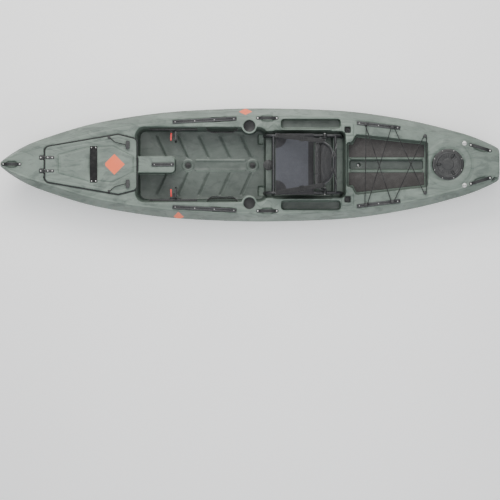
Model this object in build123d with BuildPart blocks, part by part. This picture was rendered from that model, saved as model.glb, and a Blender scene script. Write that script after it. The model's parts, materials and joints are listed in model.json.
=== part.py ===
"""Sit-on-top paddle boat with a framed seat, in millimetres.

The origin is on the ground under the middle of the hull. +X points to the stern, +Y to starboard and +Z up.
Every piece is made where it belongs, and each is written to its own STEP file in parts/.
"""

import math
import os

from build123d import *

# ---- Hull: overall sizes and lines ----
hull_length = 3750.0
beam = 858.0
wall = 6.0
gunwale_inset = 58.0  # the deck edge stands this far inside the widest line
fine_half_breadth = 200.0  # where the hull is narrower than this, the inset shrinks with it
lower_chine_rise = 0.22  # chine heights, as shares of the rise from keel to widest line
upper_chine_rise = 0.47

# Table of offsets. Each row is a station from bow to stern: its place along the length, the half breadth,
# the upper chine, the lower chine and the keel flat as shares, then the heights of keel, widest line and deck.
lines = [
    (0.000, 0.040, 0.50, 0.35, 0.15, 352, 374, 408),
    (0.012, 0.130, 0.52, 0.36, 0.12, 300, 362, 411),
    (0.030, 0.237, 0.56, 0.36, 0.10, 216, 350, 409),
    (0.060, 0.377, 0.62, 0.40, 0.10, 126, 330, 398),
    (0.100, 0.509, 0.70, 0.46, 0.12, 66, 300, 381),
    (0.180, 0.720, 0.80, 0.58, 0.16, 26, 268, 360),
    (0.281, 0.877, 0.88, 0.70, 0.24, 10, 243, 343),
    (0.381, 0.965, 0.92, 0.76, 0.30, -2, 228, 333),
    (0.501, 1.000, 0.93, 0.77, 0.30, -2, 218, 326),
    (0.622, 0.988, 0.93, 0.77, 0.30, -2, 220, 328),
    (0.722, 0.925, 0.92, 0.76, 0.28, 16, 232, 334),
    (0.822, 0.789, 0.90, 0.72, 0.26, 38, 252, 344),
    (0.903, 0.614, 0.88, 0.68, 0.24, 56, 284, 358),
    (0.953, 0.477, 0.86, 0.66, 0.22, 75, 312, 376),
    (0.979, 0.377, 0.84, 0.64, 0.22, 100, 322, 386),
    (0.992, 0.320, 0.82, 0.62, 0.22, 150, 330, 390),
    (1.000, 0.240, 0.80, 0.60, 0.22, 262, 338, 392),
]
hollow_from, hollow_to = 0.02, 0.985  # the moulding is solid outside these stations

bow_x = -hull_length / 2
stern_x = hull_length / 2
above_deck = 120.0  # cutting tools stand this far above the deck
draft = 7.0  # degrees, on every moulded well

# ---- Hull: wells and recesses ----
cockpit_front_x, cockpit_rear_x = -838.0, 110.0
cockpit_half_width = 258.0  # at the floor
cockpit_floor = 120.0
console_length, console_half_width = 272.0, 62.0
seat_well_rear_x = 705.0
seat_well_half_width = 236.0
seat_well_floor = 150.0
ledge_height = 200.0
front_ledge_x = (95.0, 172.0)
rear_ledge_x = (622.0, 705.0)
foot_slot = (50.0, 75.0, 22.0)  # length, width and depth of the spare sockets for the seat's feet
foot_slot_centre = (86.0, 196.0)
corner_radius = 45.0

tankwell_front_x, tankwell_rear_x = 738.0, 1325.0
tankwell_floor = 236.0
tankwell_front_half, tankwell_shoulder_half, tankwell_rear_half = 190.0, 216.0, 158.0
tankwell_shoulder = (38.0, 62.0)  # the corner notch beside each rod socket, along and across
channel_half_width, channel_depth = 34.0, 22.0
ridge_width, ridge_height = 14.0, 14.0

side_tray_x = (238.0, 681.0)
side_tray_width, side_tray_depth, side_tray_gap = 66.0, 70.0, 16.0
cup_x, cup_radius, cup_depth = -5.0, 45.0, 82.0
cup_liner_wall, cup_liner_floor = 2.5, 3.0
cup_boss_wall = 13.0
rod_socket_x, rod_socket_size, rod_socket_depth = 735.0, 46.0, 62.0
rod_socket_y = 262.0
rod_sleeve_wall = 3.0

scupper_radius, scupper_wall = 13.0, 7.0
scupper_x = (-471.0, 19.0, 822.0)  # two under plugs in the cockpit, one open in the channel
plug_head_radius, plug_head_height, plug_stem_length = 22.0, 8.0, 34.0
fit_gap = 0.3  # clearance between pieces that slide or lift apart

# ---- Bow hatch ----
hatch_front_x = bow_x + 337.0
hatch_length = 684.0
hatch_front_half, hatch_rear_half = 128.0, 188.0
hatch_wide_half, hatch_wide_share = 222.0, 0.80
hatch_corner_radius = 34.0
hatch_sink = 6.0  # the rebate's floor under the straight line between the deck's two ends
gasket_height, gasket_inside, gasket_outside = 6.0, 14.0, 8.0
hatch_opening_inset = 30.0
lid_thickness, lid_panel_height = 12.0, 7.0
lid_panel_half = (78.0, 136.0, 100.0)
hinge_pin_radius, hinge_knuckle_radius = 2.5, 6.0
hinge_spread, hinge_leaf_width, hinge_leaf_length = 50.0, 22.0, 66.0
hinge_leaf_thickness, hinge_gap = 3.0, 7.0
pin_clearance = 0.05
grip_strap_width, grip_strap_half_length, grip_strap_rise = 58.0, 138.0, 22.0
latch_eye_at, latch_grip_at = (478.0, 202.0), (618.0, 146.0)
latch_cord_radius = 3.0
latch_grip_size = (28.0, 62.0, 14.0)

# ---- Round stern hatch ----
round_hatch_x = stern_x - 384.0
ring_outer, ring_inner, ring_height = 117.0, 95.0, 9.0
ring_sink = 5.0
cover_radius, cover_plug_radius, cover_height = 102.0, 91.0, 9.0
seal_height, seal_width, cover_gap = 2.4, 4.0, 0.2
ring_screw_count, ring_screw_radius = 8, 3.2

# ---- Tracks, handles and deck fittings ----
track_width, track_height, track_slot, track_cavity = 28.0, 12.0, 8.0, (18.0, 5.0)
track_lip = 3.0
track_sink = 5.0
front_track = (-343.0, 333.0, 482.0, 3.1)  # middle x, y, length and turn in degrees
rear_track = (968.0, 294.0, 330.0, -6.8)
console_track = (-656.0, 0.0, 170.0, 0.0)
screw_head_radius, screw_head_height = 4.0, 2.5
handle_thickness, handle_width, handle_rise, handle_pad = 5.0, 24.0, 26.0, 13.0
handle_sink, handle_room = 3.0, 3.0
scoop_depth = 14.0
bow_handle = (bow_x + 84.0, 0.0, 124.0, 0.0)  # middle x, y, length and turn in degrees
side_handle = (130.0, 350.0, 144.0, 0.0)
stern_handle = (stern_x - 143.0, 124.0, 150.0, -17.0)
anchor_places = ((873.0, 303.0), (1073.0, 280.0), (1318.0, 214.0))
anchor_base_radius, anchor_post_radius, anchor_head_radius = 14.0, 5.0, 12.0
anchor_post_height, anchor_head_height, anchor_base_height = 26.0, 5.0, 4.0
bungee_radius = 3.0
bungee_turn_radius = 8.3  # the cord lies 0.3 off its post
bungee_crossing = 9.0

# ---- Foot braces ----
rail_x = (-760.0, -400.0)
rail_height_z, rail_width, rail_depth = 248.0, 34.0, 14.0
rail_slot, rail_cavity = 12.0, (24.0, 7.0)
rail_back = 4.0
pedal_x = -561.0
pedal_reach, pedal_height, pedal_thickness = 82.0, 104.0, 12.0
slider_length = 90.0
lever_pivot_x = pedal_x - 34.0
lever_reach, lever_width, lever_thickness = 62.0, 16.0, 5.0
lever_pin_radius = 3.0

# ---- Mesh side pockets ----
pocket_x = (-327.0, -95.0)
pocket_z = (182.0, 292.0)
pocket_thickness = (12.0, 36.0)

# ---- Seat ----
seat_tube = 11.0
seat_half_width = 214.0
seat_front_foot_x, seat_rear_foot_x = 112.0, 690.0
seat_front_x, seat_rear_x = 124.0, 672.0
seat_rail_z = 430.0
seat_bend = 56.0
post_x = (256.0, 407.0, 531.0)
post_radius = 9.0
foot_cap_wall, foot_cap_height = 3.0, 16.0
cross_tube_radius = 9.5
front_cross_x, rear_cross_x = 176.0, 640.0
sling_x = (192.0, 476.0)
sling_thickness, sling_sag = 6.0, 24.0
back_pivot = (560.0, 456.0)  # x and z
pivot_plate_radius = 16.0
back_tube = 9.0
back_gap = 2.5
# The back frame's side from the pivot up to the middle of its top: x and z, then the half width.
back_line = [(560, 456, 1.0), (524, 546, 0.97), (526, 621, 0.90), (546, 680, 0.80), (586, 752, 0.62), (611, 790, 0.34)]
back_top = (616.0, 797.0)
pad_front = [(508, 462), (483, 529), (490, 603), (503, 655)]
pad_thickness, pad_half_width = 24.0, 158.0
pivot_bolt_radius, pivot_head_radius, pivot_head_height = 4.0, 9.0, 5.0
recline_strap_width, rear_strap_width, strap_thickness = 36.0, 25.0, 2.5
recline_foot, recline_top, recline_top_y = (196.0, 452.0), (540.0, 668.0), 163.0
rear_strap_foot, rear_strap_top = (640.0, 440.0), (614.0, 790.0)
rear_strap_y = (150.0, 52.0)
buckle_size = (34.0, 8.0)

# ---- Small hull fittings ----
access_x, access_ring_radius, access_cap_radius = 140.0, 40.0, 33.0
access_ring_height, access_cap_height = 4.0, 12.0
drain_place, drain_turn = (stern_x - 48.0, -104.0, 366.0), -40.0
drain_bush_radius, drain_bore, drain_head_radius = 15.0, 7.0, 12.0
foam_x, foam_half_width = ((-640.0, -520.0), (150.0, 600.0)), 45.0
tow_eye_x, tow_eye_y, tow_eye_base = stern_x - 262.0, 158.0, 17.0

made = {}


def keep(name, part):
    """Label one finished piece and hold it for export."""
    part.label = name
    made[name] = part
    return part


def keep_pair(name, part):
    """Keep a starboard piece and its mirror image on the port side."""
    keep(f"{name}_right", part)
    keep(f"{name}_left", mirror(part, about=Plane.XZ))


def keep_alike(name, part):
    """Keep a starboard piece and its mirror image together, as one group of two."""
    keep(name, Compound(children=[part, mirror(part, about=Plane.XZ)]))


# ---------------------------------------------------------------- hull surfaces


def inset_points(points, distance):
    """Move every side of a convex outline inwards by one distance."""
    count = len(points)
    sides = []
    for index in range(count):
        start, end = points[index], points[(index + 1) % count]
        along = (end - start).normalized()
        inward = Vector(-along.Y, along.X)
        sides.append((start + inward * distance, along))
    corners = []
    for index in range(count):
        (p, u), (q, v) = sides[index - 1], sides[index]
        cross = u.X * v.Y - u.Y * v.X
        reach = ((q - p).X * v.Y - (q - p).Y * v.X) / cross
        corners.append(p + u * reach)
    return corners


def section(row, inset):
    """One station's outline as (breadth, height) points, port keel edge last."""
    share, upper, lower, flat, keel, wide, deck = row[1:]
    half = share * beam / 2
    edge = half - gunwale_inset * min(1.0, half / fine_half_breadth)
    rise = wide - keel
    starboard = [
        Vector(flat * half, keel),
        Vector(lower * half, keel + lower_chine_rise * rise),
        Vector(upper * half, keel + upper_chine_rise * rise),
        Vector(half, wide),
        Vector(edge, deck),
    ]
    outline = starboard + [Vector(-p.X, p.Y) for p in reversed(starboard)]
    return inset_points(outline, inset) if inset else outline


def hull_body(rows, inset=0.0):
    """The smooth body through the stations, or its hollow when the stations are inset."""
    with BuildPart() as body:
        for row in rows:
            with BuildSketch(Plane.YZ.offset(bow_x + row[0] * hull_length)):
                with BuildLine():
                    Polyline(*section(row, inset), close=True)
                make_face()
        loft()
    return body.part


outer_body = hull_body(lines)


def deck_height(x):
    """Height of the flat deck above the ground at x."""
    hits = outer_body.find_intersection_points(Axis((x, 0, 0), (0, 0, 1)))
    return max(point.Z for point, _ in hits)


def deck_plane(x, y=0.0, turn=0.0, reach=60.0, sink=0.0):
    """A plane lying on the deck between x - reach and x + reach, then lowered by sink."""
    fore, aft = deck_height(x - reach), deck_height(x + reach)
    slope = math.atan2(aft - fore, 2 * reach)
    level = min((fore + aft) / 2, deck_height(x)) - sink
    lie = Plane(origin=(x, y, level), x_dir=(math.cos(slope), 0, math.sin(slope)), z_dir=(-math.sin(slope), 0, math.cos(slope)))
    return lie.rotated((0, 0, turn))


def block(plane, length, width, bottom, top, radius=0.0, taper=0.0):
    """A block on a plane, with rounded upright corners. A negative taper widens it upwards."""
    with BuildPart() as body:
        with BuildSketch(plane.offset(bottom)):
            if radius:
                RectangleRounded(length, width, radius)
            else:
                Rectangle(length, width)
        extrude(amount=top - bottom, taper=taper)
    return body.part


def well(x_range, half_width, floor, grow=0.0, radius=corner_radius, y=0.0):
    """A moulded well that widens upwards from its floor, or the same grown by the wall."""
    length = x_range[1] - x_range[0] + 2 * grow
    middle = Plane.XY.move(Location(((x_range[0] + x_range[1]) / 2, y, 0)))
    top = max(deck_height(x_range[0]), deck_height(x_range[1])) + above_deck
    return block(middle, length, 2 * (half_width + grow), floor - grow, top, radius + grow, -draft)


def console(grow=0.0):
    """The spine that runs aft from the cockpit's front wall, wider at its foot."""
    front = Plane.XY.move(Location((cockpit_front_x + console_length / 2 - 60, 0, 0)))
    length = console_length + 120 - 2 * grow
    return block(front, length, 2 * (console_half_width - grow), cockpit_floor - above_deck, 600, console_half_width / 2 - grow, 0)


def cup_places():
    """Middle of each cup well, starboard then port. The boss breaks into the cockpit's side."""
    y = cockpit_half_width + math.tan(math.radians(draft)) * (deck_height(cup_x) - cockpit_floor) + 8
    return ((cup_x, y), (cup_x, -y))


def post(x, y, radius, bottom, top):
    """An upright round bar."""
    with BuildPart() as body:
        with BuildSketch(Plane.XY.offset(bottom)):
            with Locations((x, y)):
                Circle(radius)
        extrude(amount=top - bottom)
    return body.part


def tankwell(grow=0.0):
    """The load well behind the seat, notched beside each rod socket and narrowing aft."""
    front, rear = tankwell_front_x - grow, tankwell_rear_x + grow
    notch_along, notch_across = tankwell_shoulder
    shoulder = tankwell_shoulder_half + grow
    starboard = [
        (front, tankwell_front_half + grow - notch_across / 2),
        (front + notch_along, tankwell_front_half + grow - notch_across / 2),
        (front + notch_along * 1.7, shoulder),
        (rear, tankwell_rear_half + grow),
    ]
    outline = starboard + [(x, -y) for x, y in reversed(starboard)]
    with BuildPart() as body:
        with BuildSketch(Plane.XY.offset(tankwell_floor - grow)):
            with BuildLine():
                Polyline(*outline, close=True)
            make_face()
            fillet(vertices(), 9)
        extrude(amount=above_deck * 2, taper=-draft)
    return body.part


def channel(grow=0.0):
    """The drain channel along the middle of the load well."""
    middle = Plane.XY.move(Location(((tankwell_front_x + tankwell_rear_x) / 2, 0, 0)))
    length = tankwell_rear_x - tankwell_front_x - 30 + 2 * grow
    return block(middle, length, 2 * (channel_half_width + grow), tankwell_floor - channel_depth - grow, tankwell_floor + 5, 12)


def side_tray(side, grow=0.0):
    """A long tray in the gunwale beside the seat."""
    length = side_tray_x[1] - side_tray_x[0] + 2 * grow
    x = sum(side_tray_x) / 2
    floor = deck_height(x) - side_tray_depth
    inner = seat_well_half_width + math.tan(math.radians(draft)) * (deck_height(x) - seat_well_floor) + side_tray_gap
    middle = Plane.XY.move(Location((x, side * (inner + side_tray_width / 2), 0)))
    return block(middle, length, side_tray_width + 2 * grow, floor - grow, floor + side_tray_depth + above_deck, 20, -3)


def rod_socket(side, grow=0.0):
    """A square socket in the boss at the well's front corner."""
    floor = deck_height(rod_socket_x) - rod_socket_depth
    size = rod_socket_size + 2 * grow
    return block(Plane.XY.move(Location((rod_socket_x, side * rod_socket_y, 0))), size, size, floor - grow, floor + rod_socket_depth + above_deck, 6)


def scoop(handle, side, grow=0.0):
    """A shallow hollow under a carry handle, so that fingers get round it."""
    x, y, length, turn = handle
    lie = deck_plane(x, side * y, side * turn)
    return block(lie, length * 0.62 + 2 * grow, handle_width * 1.7 + 2 * grow, -scoop_depth - grow, above_deck, handle_width * 0.8 + grow, -12)


def hatch_plane():
    """The rebate's floor: the straight line between the deck's heights at the hatch's two ends, lowered."""
    fore, aft = deck_height(hatch_front_x), deck_height(hatch_front_x + hatch_length)
    slope = math.atan2(aft - fore, hatch_length)
    along = (math.cos(slope), 0, math.sin(slope))
    return Plane(origin=(hatch_front_x, 0, fore - hatch_sink), x_dir=along, z_dir=(-math.sin(slope), 0, math.cos(slope)))


def hatch_slab(grow, bottom, top):
    """A slab of the lid's plan: straight front, widening sides and rounded rear corners."""
    wide_x = hatch_length * hatch_wide_share
    starboard = [(0, hatch_front_half), (wide_x, hatch_wide_half), (hatch_length, hatch_rear_half)]
    outline = starboard + [(x, -y) for x, y in reversed(starboard)]
    with BuildPart() as body:
        with BuildSketch(hatch_plane().offset(bottom)):
            with BuildLine():
                Polyline(*outline, close=True)
            make_face()
            fillet(vertices(), hatch_corner_radius)
            if grow:
                offset(amount=grow)
        extrude(amount=top - bottom)
    return body.part


def round_plane():
    """The seat of the round hatch's ring."""
    return deck_plane(round_hatch_x, reach=ring_outer, sink=ring_sink)


def disc(plane, radius, bottom, top, bore=0.0):
    """A disc or ring on a plane."""
    with BuildPart() as body:
        with BuildSketch(plane.offset(bottom)):
            Circle(radius)
            if bore:
                Circle(bore, mode=Mode.SUBTRACT)
        extrude(amount=top - bottom)
    return body.part


def wall_plane(x, z):
    """A plane on the starboard cockpit wall, facing inboard, with its own x along the hull."""
    lean = math.radians(draft)
    y = cockpit_half_width + math.tan(lean) * (z - cockpit_floor)
    return Plane(origin=(x, y, z), x_dir=(1, 0, 0), z_dir=(0, -math.cos(lean), math.sin(lean)))


def drain_plane():
    """The flat on the stern's port quarter that the drain is set in."""
    turn = math.radians(drain_turn)
    return Plane(origin=drain_place, x_dir=(0, 0, 1), z_dir=(math.cos(turn), math.sin(turn), 0))


handles = [(bow_handle, 1), (side_handle, 1), (side_handle, -1), (stern_handle, 1), (stern_handle, -1)]
tracks = [(front_track, 1), (front_track, -1), (rear_track, 1), (rear_track, -1), (console_track, 1)]


def handle_pads(handle, side):
    """The two planes that a carry handle's ends are screwed down on."""
    x, y, length, turn = handle
    run = math.radians(side * turn)
    ends = []
    for end in (-1, 1):
        px = x + end * math.cos(run) * length / 2
        py = side * y + end * math.sin(run) * length / 2
        ends.append(deck_plane(px, py, side * turn, reach=handle_pad, sink=handle_sink))
    return ends


def wells(grow=0.0):
    """Everything cut into the deck, or the same grown by the wall for trimming the hollow."""
    cut = [
        well((cockpit_front_x, cockpit_rear_x), cockpit_half_width, cockpit_floor, grow) - console(grow),
        well((front_ledge_x[0], seat_well_rear_x), seat_well_half_width, ledge_height, grow, radius=20),
        well((front_ledge_x[1], rear_ledge_x[0]), seat_well_half_width, seat_well_floor, grow, radius=20),
        tankwell(grow),
        channel(grow),
    ]
    for x, y in cup_places():
        boss = post(x, y, cup_radius + cup_boss_wall - grow, 0, 600)
        cut[0] -= boss
    for x, y in cup_places():
        cut.append(post(x, y, cup_radius + grow, deck_height(x) - cup_depth - grow, deck_height(x) + above_deck))
    for side in (1, -1):
        cut.append(side_tray(side, grow))
        cut.append(rod_socket(side, grow))
        socket = Plane.XY.move(Location((foot_slot_centre[0], side * foot_slot_centre[1], 0)))
        length, width, depth = foot_slot
        cut.append(block(socket, length + 2 * grow, width + 2 * grow, cockpit_floor - depth - grow, cockpit_floor + 5, 8))
    cut += [scoop(handle, side, grow) for handle, side in handles]
    return cut


def fitting_seats():
    """Shallow flats in the deck, so that every fitting stands on a flat of its own."""
    seats = [hatch_slab(gasket_outside + 4, 0, above_deck), disc(round_plane(), ring_outer + 1, 0, above_deck)]
    for track, side in tracks:
        x, y, length, turn = track
        lie = deck_plane(x, side * y, side * turn, reach=length / 2, sink=track_sink)
        seats.append(block(lie, length + 1, track_width + 1, 0, above_deck))
    for handle, side in handles:
        for pad in handle_pads(handle, side):
            seats.append(disc(pad, handle_pad + handle_room, 0, above_deck))
    for side in (1, -1):
        x, y = anchor_places[-1]
        seats.append(disc(deck_plane(x, side * y, sink=2, reach=anchor_base_radius), anchor_base_radius + 1, 0, 40))
        seats.append(disc(deck_plane(tow_eye_x, side * tow_eye_y, sink=2, reach=tow_eye_base), tow_eye_base + 1, 0, 40))
        seats.append(block(on_hatch(-hinge_gap - 16, side * hinge_spread, 1.0), 46, hinge_leaf_width + 16, 0, 60))
    seats.append(disc(drain_plane(), drain_head_radius + 14, 0, 60))
    return seats


def load_well_ridges():
    """The two raised ridges that keep a load off the drain channel."""
    ridges = []
    for side in (1, -1):
        ridge_y = side * (channel_half_width + ridge_width)
        length = tankwell_rear_x - tankwell_front_x - 40
        lie = Plane.XY.move(Location(((tankwell_front_x + tankwell_rear_x) / 2, ridge_y, 0)))
        ridges.append(block(lie, length, ridge_width, tankwell_floor - 2, tankwell_floor + ridge_height, 4, 10))
    return ridges


def through_holes():
    """Everything that opens the deck, the floor or the stern into the hollow, and the drain holes."""
    holes = [hatch_slab(-hatch_opening_inset, -60, 10), disc(round_plane(), ring_inner, -60, 10)]
    holes += [post(x, 0, scupper_radius, -20, 260) for x in scupper_x]
    ring_seat = Plane.XY.move(Location((access_x, 0, ledge_height)))
    holes.append(disc(ring_seat, access_cap_radius - 7, -wall * 2, 5))
    holes.append(disc(drain_plane(), drain_bush_radius, -22, 1))
    holes.append(disc(drain_plane(), drain_bore, -90, 1))
    return holes


def make_hull():
    """The one-piece moulding: outer body, less the wells, less the hollow between them."""
    ground = block(Plane.XY, 2 * hull_length, 2 * beam, -50, 0)
    body = outer_body - ground
    for seat in fitting_seats():
        body -= seat
    body = body - wells()
    body = body + load_well_ridges()
    inner_rows = [row for row in lines if hollow_from < row[0] < hollow_to]
    hollow = hull_body(inner_rows, wall)
    solid_parts = wells(wall)
    solid_parts += [post(x, 0, scupper_radius + scupper_wall, -20, 300) for x in scupper_x]
    solid_parts.append(disc(drain_plane(), drain_bush_radius + 12, -70, 0))
    hollow = hollow - solid_parts
    hollow = hollow.solids().sort_by(SortBy.VOLUME)[-1]
    return body - hollow - through_holes()


# ---------------------------------------------------------------- bow hatch


def hinge_axis():
    """Middle of the hinge line in the hatch plane's own x and z."""
    return -hinge_gap, gasket_height + lid_thickness - 1.0


def on_hatch(x, y, z=0.0, turn=0.0):
    """A plane parallel to the hatch plane, moved to a point in that plane's own terms."""
    base = hatch_plane()
    lie = Plane(origin=base.from_local_coords(Vector(x, y, z)), x_dir=base.x_dir, z_dir=base.z_dir)
    return lie.rotated((0, 0, turn))


def across(plane_point, radius, half_length, bore=0.0):
    """A round bar along Y through a point, or a tube."""
    with BuildPart() as body:
        with BuildSketch(Plane(origin=plane_point, x_dir=(1, 0, 0), z_dir=(0, 1, 0))):
            Circle(radius)
            if bore:
                Circle(bore, mode=Mode.SUBTRACT)
        extrude(amount=half_length, both=True)
    return body.part


def make_bow_hatch():
    """The hinged bow lid with its gasket, hinges and latches."""
    lid_bottom = gasket_height
    lid_top = gasket_height + lid_thickness
    with BuildPart() as gasket:
        add(hatch_slab(gasket_outside, 0, gasket_height - 0.1))
        add(hatch_slab(-gasket_inside, -1, gasket_height + 1), mode=Mode.SUBTRACT)
        for side in (1, -1):
            notch = on_hatch(-hinge_gap - 16, side * hinge_spread, -1)
            add(block(notch, 46, hinge_leaf_width + 16, 0, 40), mode=Mode.SUBTRACT)
    keep("hatch_gasket", gasket.part)

    lid = hatch_slab(0, lid_bottom, lid_top)
    front, wide, rear = lid_panel_half
    panel = [(74, front), (hatch_length * hatch_wide_share - 26, wide), (hatch_length - 18, rear)]
    panel += [(x, -y) for x, y in reversed(panel)]
    with BuildPart() as raised:
        with BuildSketch(hatch_plane().offset(lid_top)):
            with BuildLine():
                Polyline(*panel, close=True)
            make_face()
            fillet(vertices(), 14)
        extrude(amount=lid_panel_height, taper=30)
    lid += raised.part
    axis_x, axis_z = hinge_axis()
    knuckle_half = hinge_leaf_width / 2 - 6
    leaves, brackets, pins, rivets = [], [], [], []
    for side in (1, -1):
        y = side * hinge_spread
        point = on_hatch(axis_x, y, axis_z).origin
        leaf = block(on_hatch(hinge_leaf_length / 2 + 2, y, lid_top), hinge_leaf_length - 4, hinge_leaf_width, 0, hinge_leaf_thickness, 4)
        neck = block(on_hatch(0, y, lid_top), 16, 2 * knuckle_half, 0, hinge_leaf_thickness)
        knuckle = across(point, hinge_knuckle_radius, knuckle_half - fit_gap)
        hole = across(point, hinge_pin_radius + pin_clearance, 40)
        leaves.append(leaf + (neck + knuckle) - hole)
        ears = across(point, hinge_knuckle_radius, knuckle_half + 6) - across(point, hinge_knuckle_radius + 1, knuckle_half)
        foot = block(on_hatch(-hinge_gap - 16, y, 1.0), 44, hinge_leaf_width + 14, 0, 3, 5)
        webs = []
        for end in (1, -1):
            web_plane = on_hatch(axis_x, y + end * (knuckle_half + 3), 3.9)
            webs.append(block(web_plane, 2 * hinge_knuckle_radius, 6, 0, axis_z - 3.9))
        bracket = foot + ears
        for web in webs:
            bracket += web
        bracket -= across(point, hinge_pin_radius, 40)
        brackets.append(bracket)
        pins.append(across(point, hinge_pin_radius, knuckle_half + 8))
        for x, z in ((-hinge_gap - 28, 4.0), (18, lid_top + hinge_leaf_thickness), (52, lid_top + hinge_leaf_thickness)):
            rivets.append(disc(on_hatch(x, y, z), 5, 0, 2.5))
    keep("bow_hatch_lid", lid)
    keep("hatch_hinge_leaves", Compound(children=leaves))
    keep("hatch_hinge_brackets", Compound(children=brackets))
    keep("hatch_hinge_pins", Compound(children=pins))
    keep("hinge_bracket_screws", Compound(children=[rivets[0], rivets[3]]))
    strap_rivets = make_grip_strap(lid_top + lid_panel_height)
    keep("lid_rivets", Compound(children=[rivets[1], rivets[2], rivets[4], rivets[5]] + strap_rivets))
    for side, word in ((1, "right"), (-1, "left")):
        make_latch(side, word, lid_top)
    eye = on_hatch(*latch_eye_at, lid_top)
    keep_alike("latch_eyes", disc(eye, 11, 0, 4) + disc(eye, 5, 4, 9) + disc(eye, 9, 9, 12))


def make_grip_strap(seat):
    """The webbing handle across the lid, bowed up between its two stitched ends."""
    half, rise = grip_strap_half_length, grip_strap_rise
    middle = on_hatch(362, 0, 0)
    lid_top = gasket_height + lid_thickness
    plane = Plane(origin=middle.origin, x_dir=(0, 1, 0), z_dir=middle.x_dir)
    # In this plane x runs across the hull and y runs up from the hatch plane.
    with BuildPart() as strap:
        with BuildSketch(plane.offset(-grip_strap_width / 2)):
            with BuildLine():
                upper = ThreePointArc((-half + 34, lid_top + 3), (0, seat + rise), (half - 34, lid_top + 3))
                Line(upper @ 1, (half, lid_top + 3))
                Line((half, lid_top + 3), (half, lid_top))
                Line((half, lid_top), (half - 34, lid_top))
                lower = ThreePointArc((half - 34, lid_top), (0, seat + rise - 3), (-half + 34, lid_top))
                Line(lower @ 1, (-half, lid_top))
                Line((-half, lid_top), (-half, lid_top + 3))
                Line((-half, lid_top + 3), upper @ 0)
            make_face()
        extrude(amount=grip_strap_width)
    keep("lid_grip_strap", strap.part)
    screws = []
    for side in (1, -1):
        for x in (362 - 16, 362 + 16):
            screws.append(disc(on_hatch(x, side * (half - 12), lid_top + 3), 5, 0, 2))
    return screws


def make_latch(side, word, lid_top):
    """An elastic cord from an eye at the lid's edge to a grip that snaps over the rear corner."""
    grip = on_hatch(latch_grip_at[0], side * latch_grip_at[1], lid_top + lid_panel_height)
    length, width, height = latch_grip_size
    grip_part = block(grip, length, width, 1, 1 + height, 6)
    keep(f"latch_grip_{word}", grip_part)
    base = hatch_plane()
    z = lid_top + 7.0
    grip_z = lid_top + lid_panel_height + 1 + height / 2
    start = base.from_local_coords(Vector(latch_eye_at[0] + 9, side * (latch_eye_at[1] - 4), z))
    bend = base.from_local_coords(Vector(latch_eye_at[0] + 42, side * (latch_eye_at[1] - 34), grip_z))
    end = base.from_local_coords(Vector(latch_grip_at[0] - length / 2, side * latch_grip_at[1], grip_z))
    with BuildPart() as cord:
        with BuildLine() as route:
            FilletPolyline(start, bend, end, radius=30)
        with BuildSketch(Plane(origin=start, z_dir=route.wire() % 0)):
            Circle(latch_cord_radius)
        sweep()
    keep(f"latch_cord_{word}", cord.part - grip_part)


# ---------------------------------------------------------------- round hatch


def make_round_hatch():
    """The round stern hatch: screwed ring, seal and turning cover."""
    plane = round_plane()
    ring = disc(plane, ring_outer, 0, ring_height, ring_inner)
    screws = []
    for turn in range(ring_screw_count):
        angle = math.radians(360 / ring_screw_count * (turn + 0.5))
        middle = (ring_outer + cover_radius) / 2 + 0.5
        spot = plane.from_local_coords(Vector(middle * math.cos(angle), middle * math.sin(angle), ring_height))
        screws.append(disc(Plane(origin=spot, x_dir=plane.x_dir, z_dir=plane.z_dir), ring_screw_radius, 0, 1.6))
    keep("round_hatch_ring", ring)
    keep("round_hatch_screws", Compound(children=screws))
    keep("round_hatch_seal", disc(plane, ring_inner + 1 + seal_width, ring_height, ring_height + seal_height, ring_inner + 1))
    bottom = ring_height + seal_height + cover_gap
    cover = disc(plane, cover_radius, bottom, bottom + cover_height)
    cover += disc(plane, cover_plug_radius, -14, bottom) - disc(plane, cover_plug_radius - 4, -15, bottom - 4)
    for turn in (0, 120, 240):
        angle = math.radians(turn + 60)
        spot = plane.from_local_coords(Vector(72 * math.cos(angle), 72 * math.sin(angle), bottom + cover_height))
        lie = Plane(origin=spot, x_dir=plane.x_dir, z_dir=plane.z_dir).rotated((0, 0, turn + 60))
        cover += block(lie, 34, 14, 0, 8, 6, 8)
    keep("round_hatch_cover", cover)


# ---------------------------------------------------------------- deck fittings


def make_tracks():
    """The slotted gear tracks and the screws in them."""
    names = ("front_tracks", "front_tracks", "rear_tracks", "rear_tracks", "console_track")
    screws, groups = [], {}
    for name, (track, side) in zip(names, tracks):
        x, y, length, turn = track
        lie = deck_plane(x, side * y, side * turn, reach=length / 2, sink=track_sink)
        body = block(lie, length, track_width, 0, track_height)
        cavity_width, cavity_height = track_cavity
        cavity_top = track_height - track_lip
        body -= block(lie, length + 2, cavity_width, cavity_top - cavity_height, cavity_top)
        body -= block(lie, length + 2, track_slot, cavity_top - 1, track_height + 1)
        groups.setdefault(name, []).append(body)
        count = max(2, round(length / 110))
        for index in range(count):
            along = (index - (count - 1) / 2) * (length - 40) / (count - 1)
            spot = lie.from_local_coords(Vector(along, 0, cavity_top - cavity_height))
            screws.append(disc(Plane(origin=spot, x_dir=lie.x_dir, z_dir=lie.z_dir), screw_head_radius, 0, screw_head_height))
    for name, bodies in groups.items():
        keep(name, Compound(children=bodies))
    keep("track_screws", Compound(children=screws))


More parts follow.
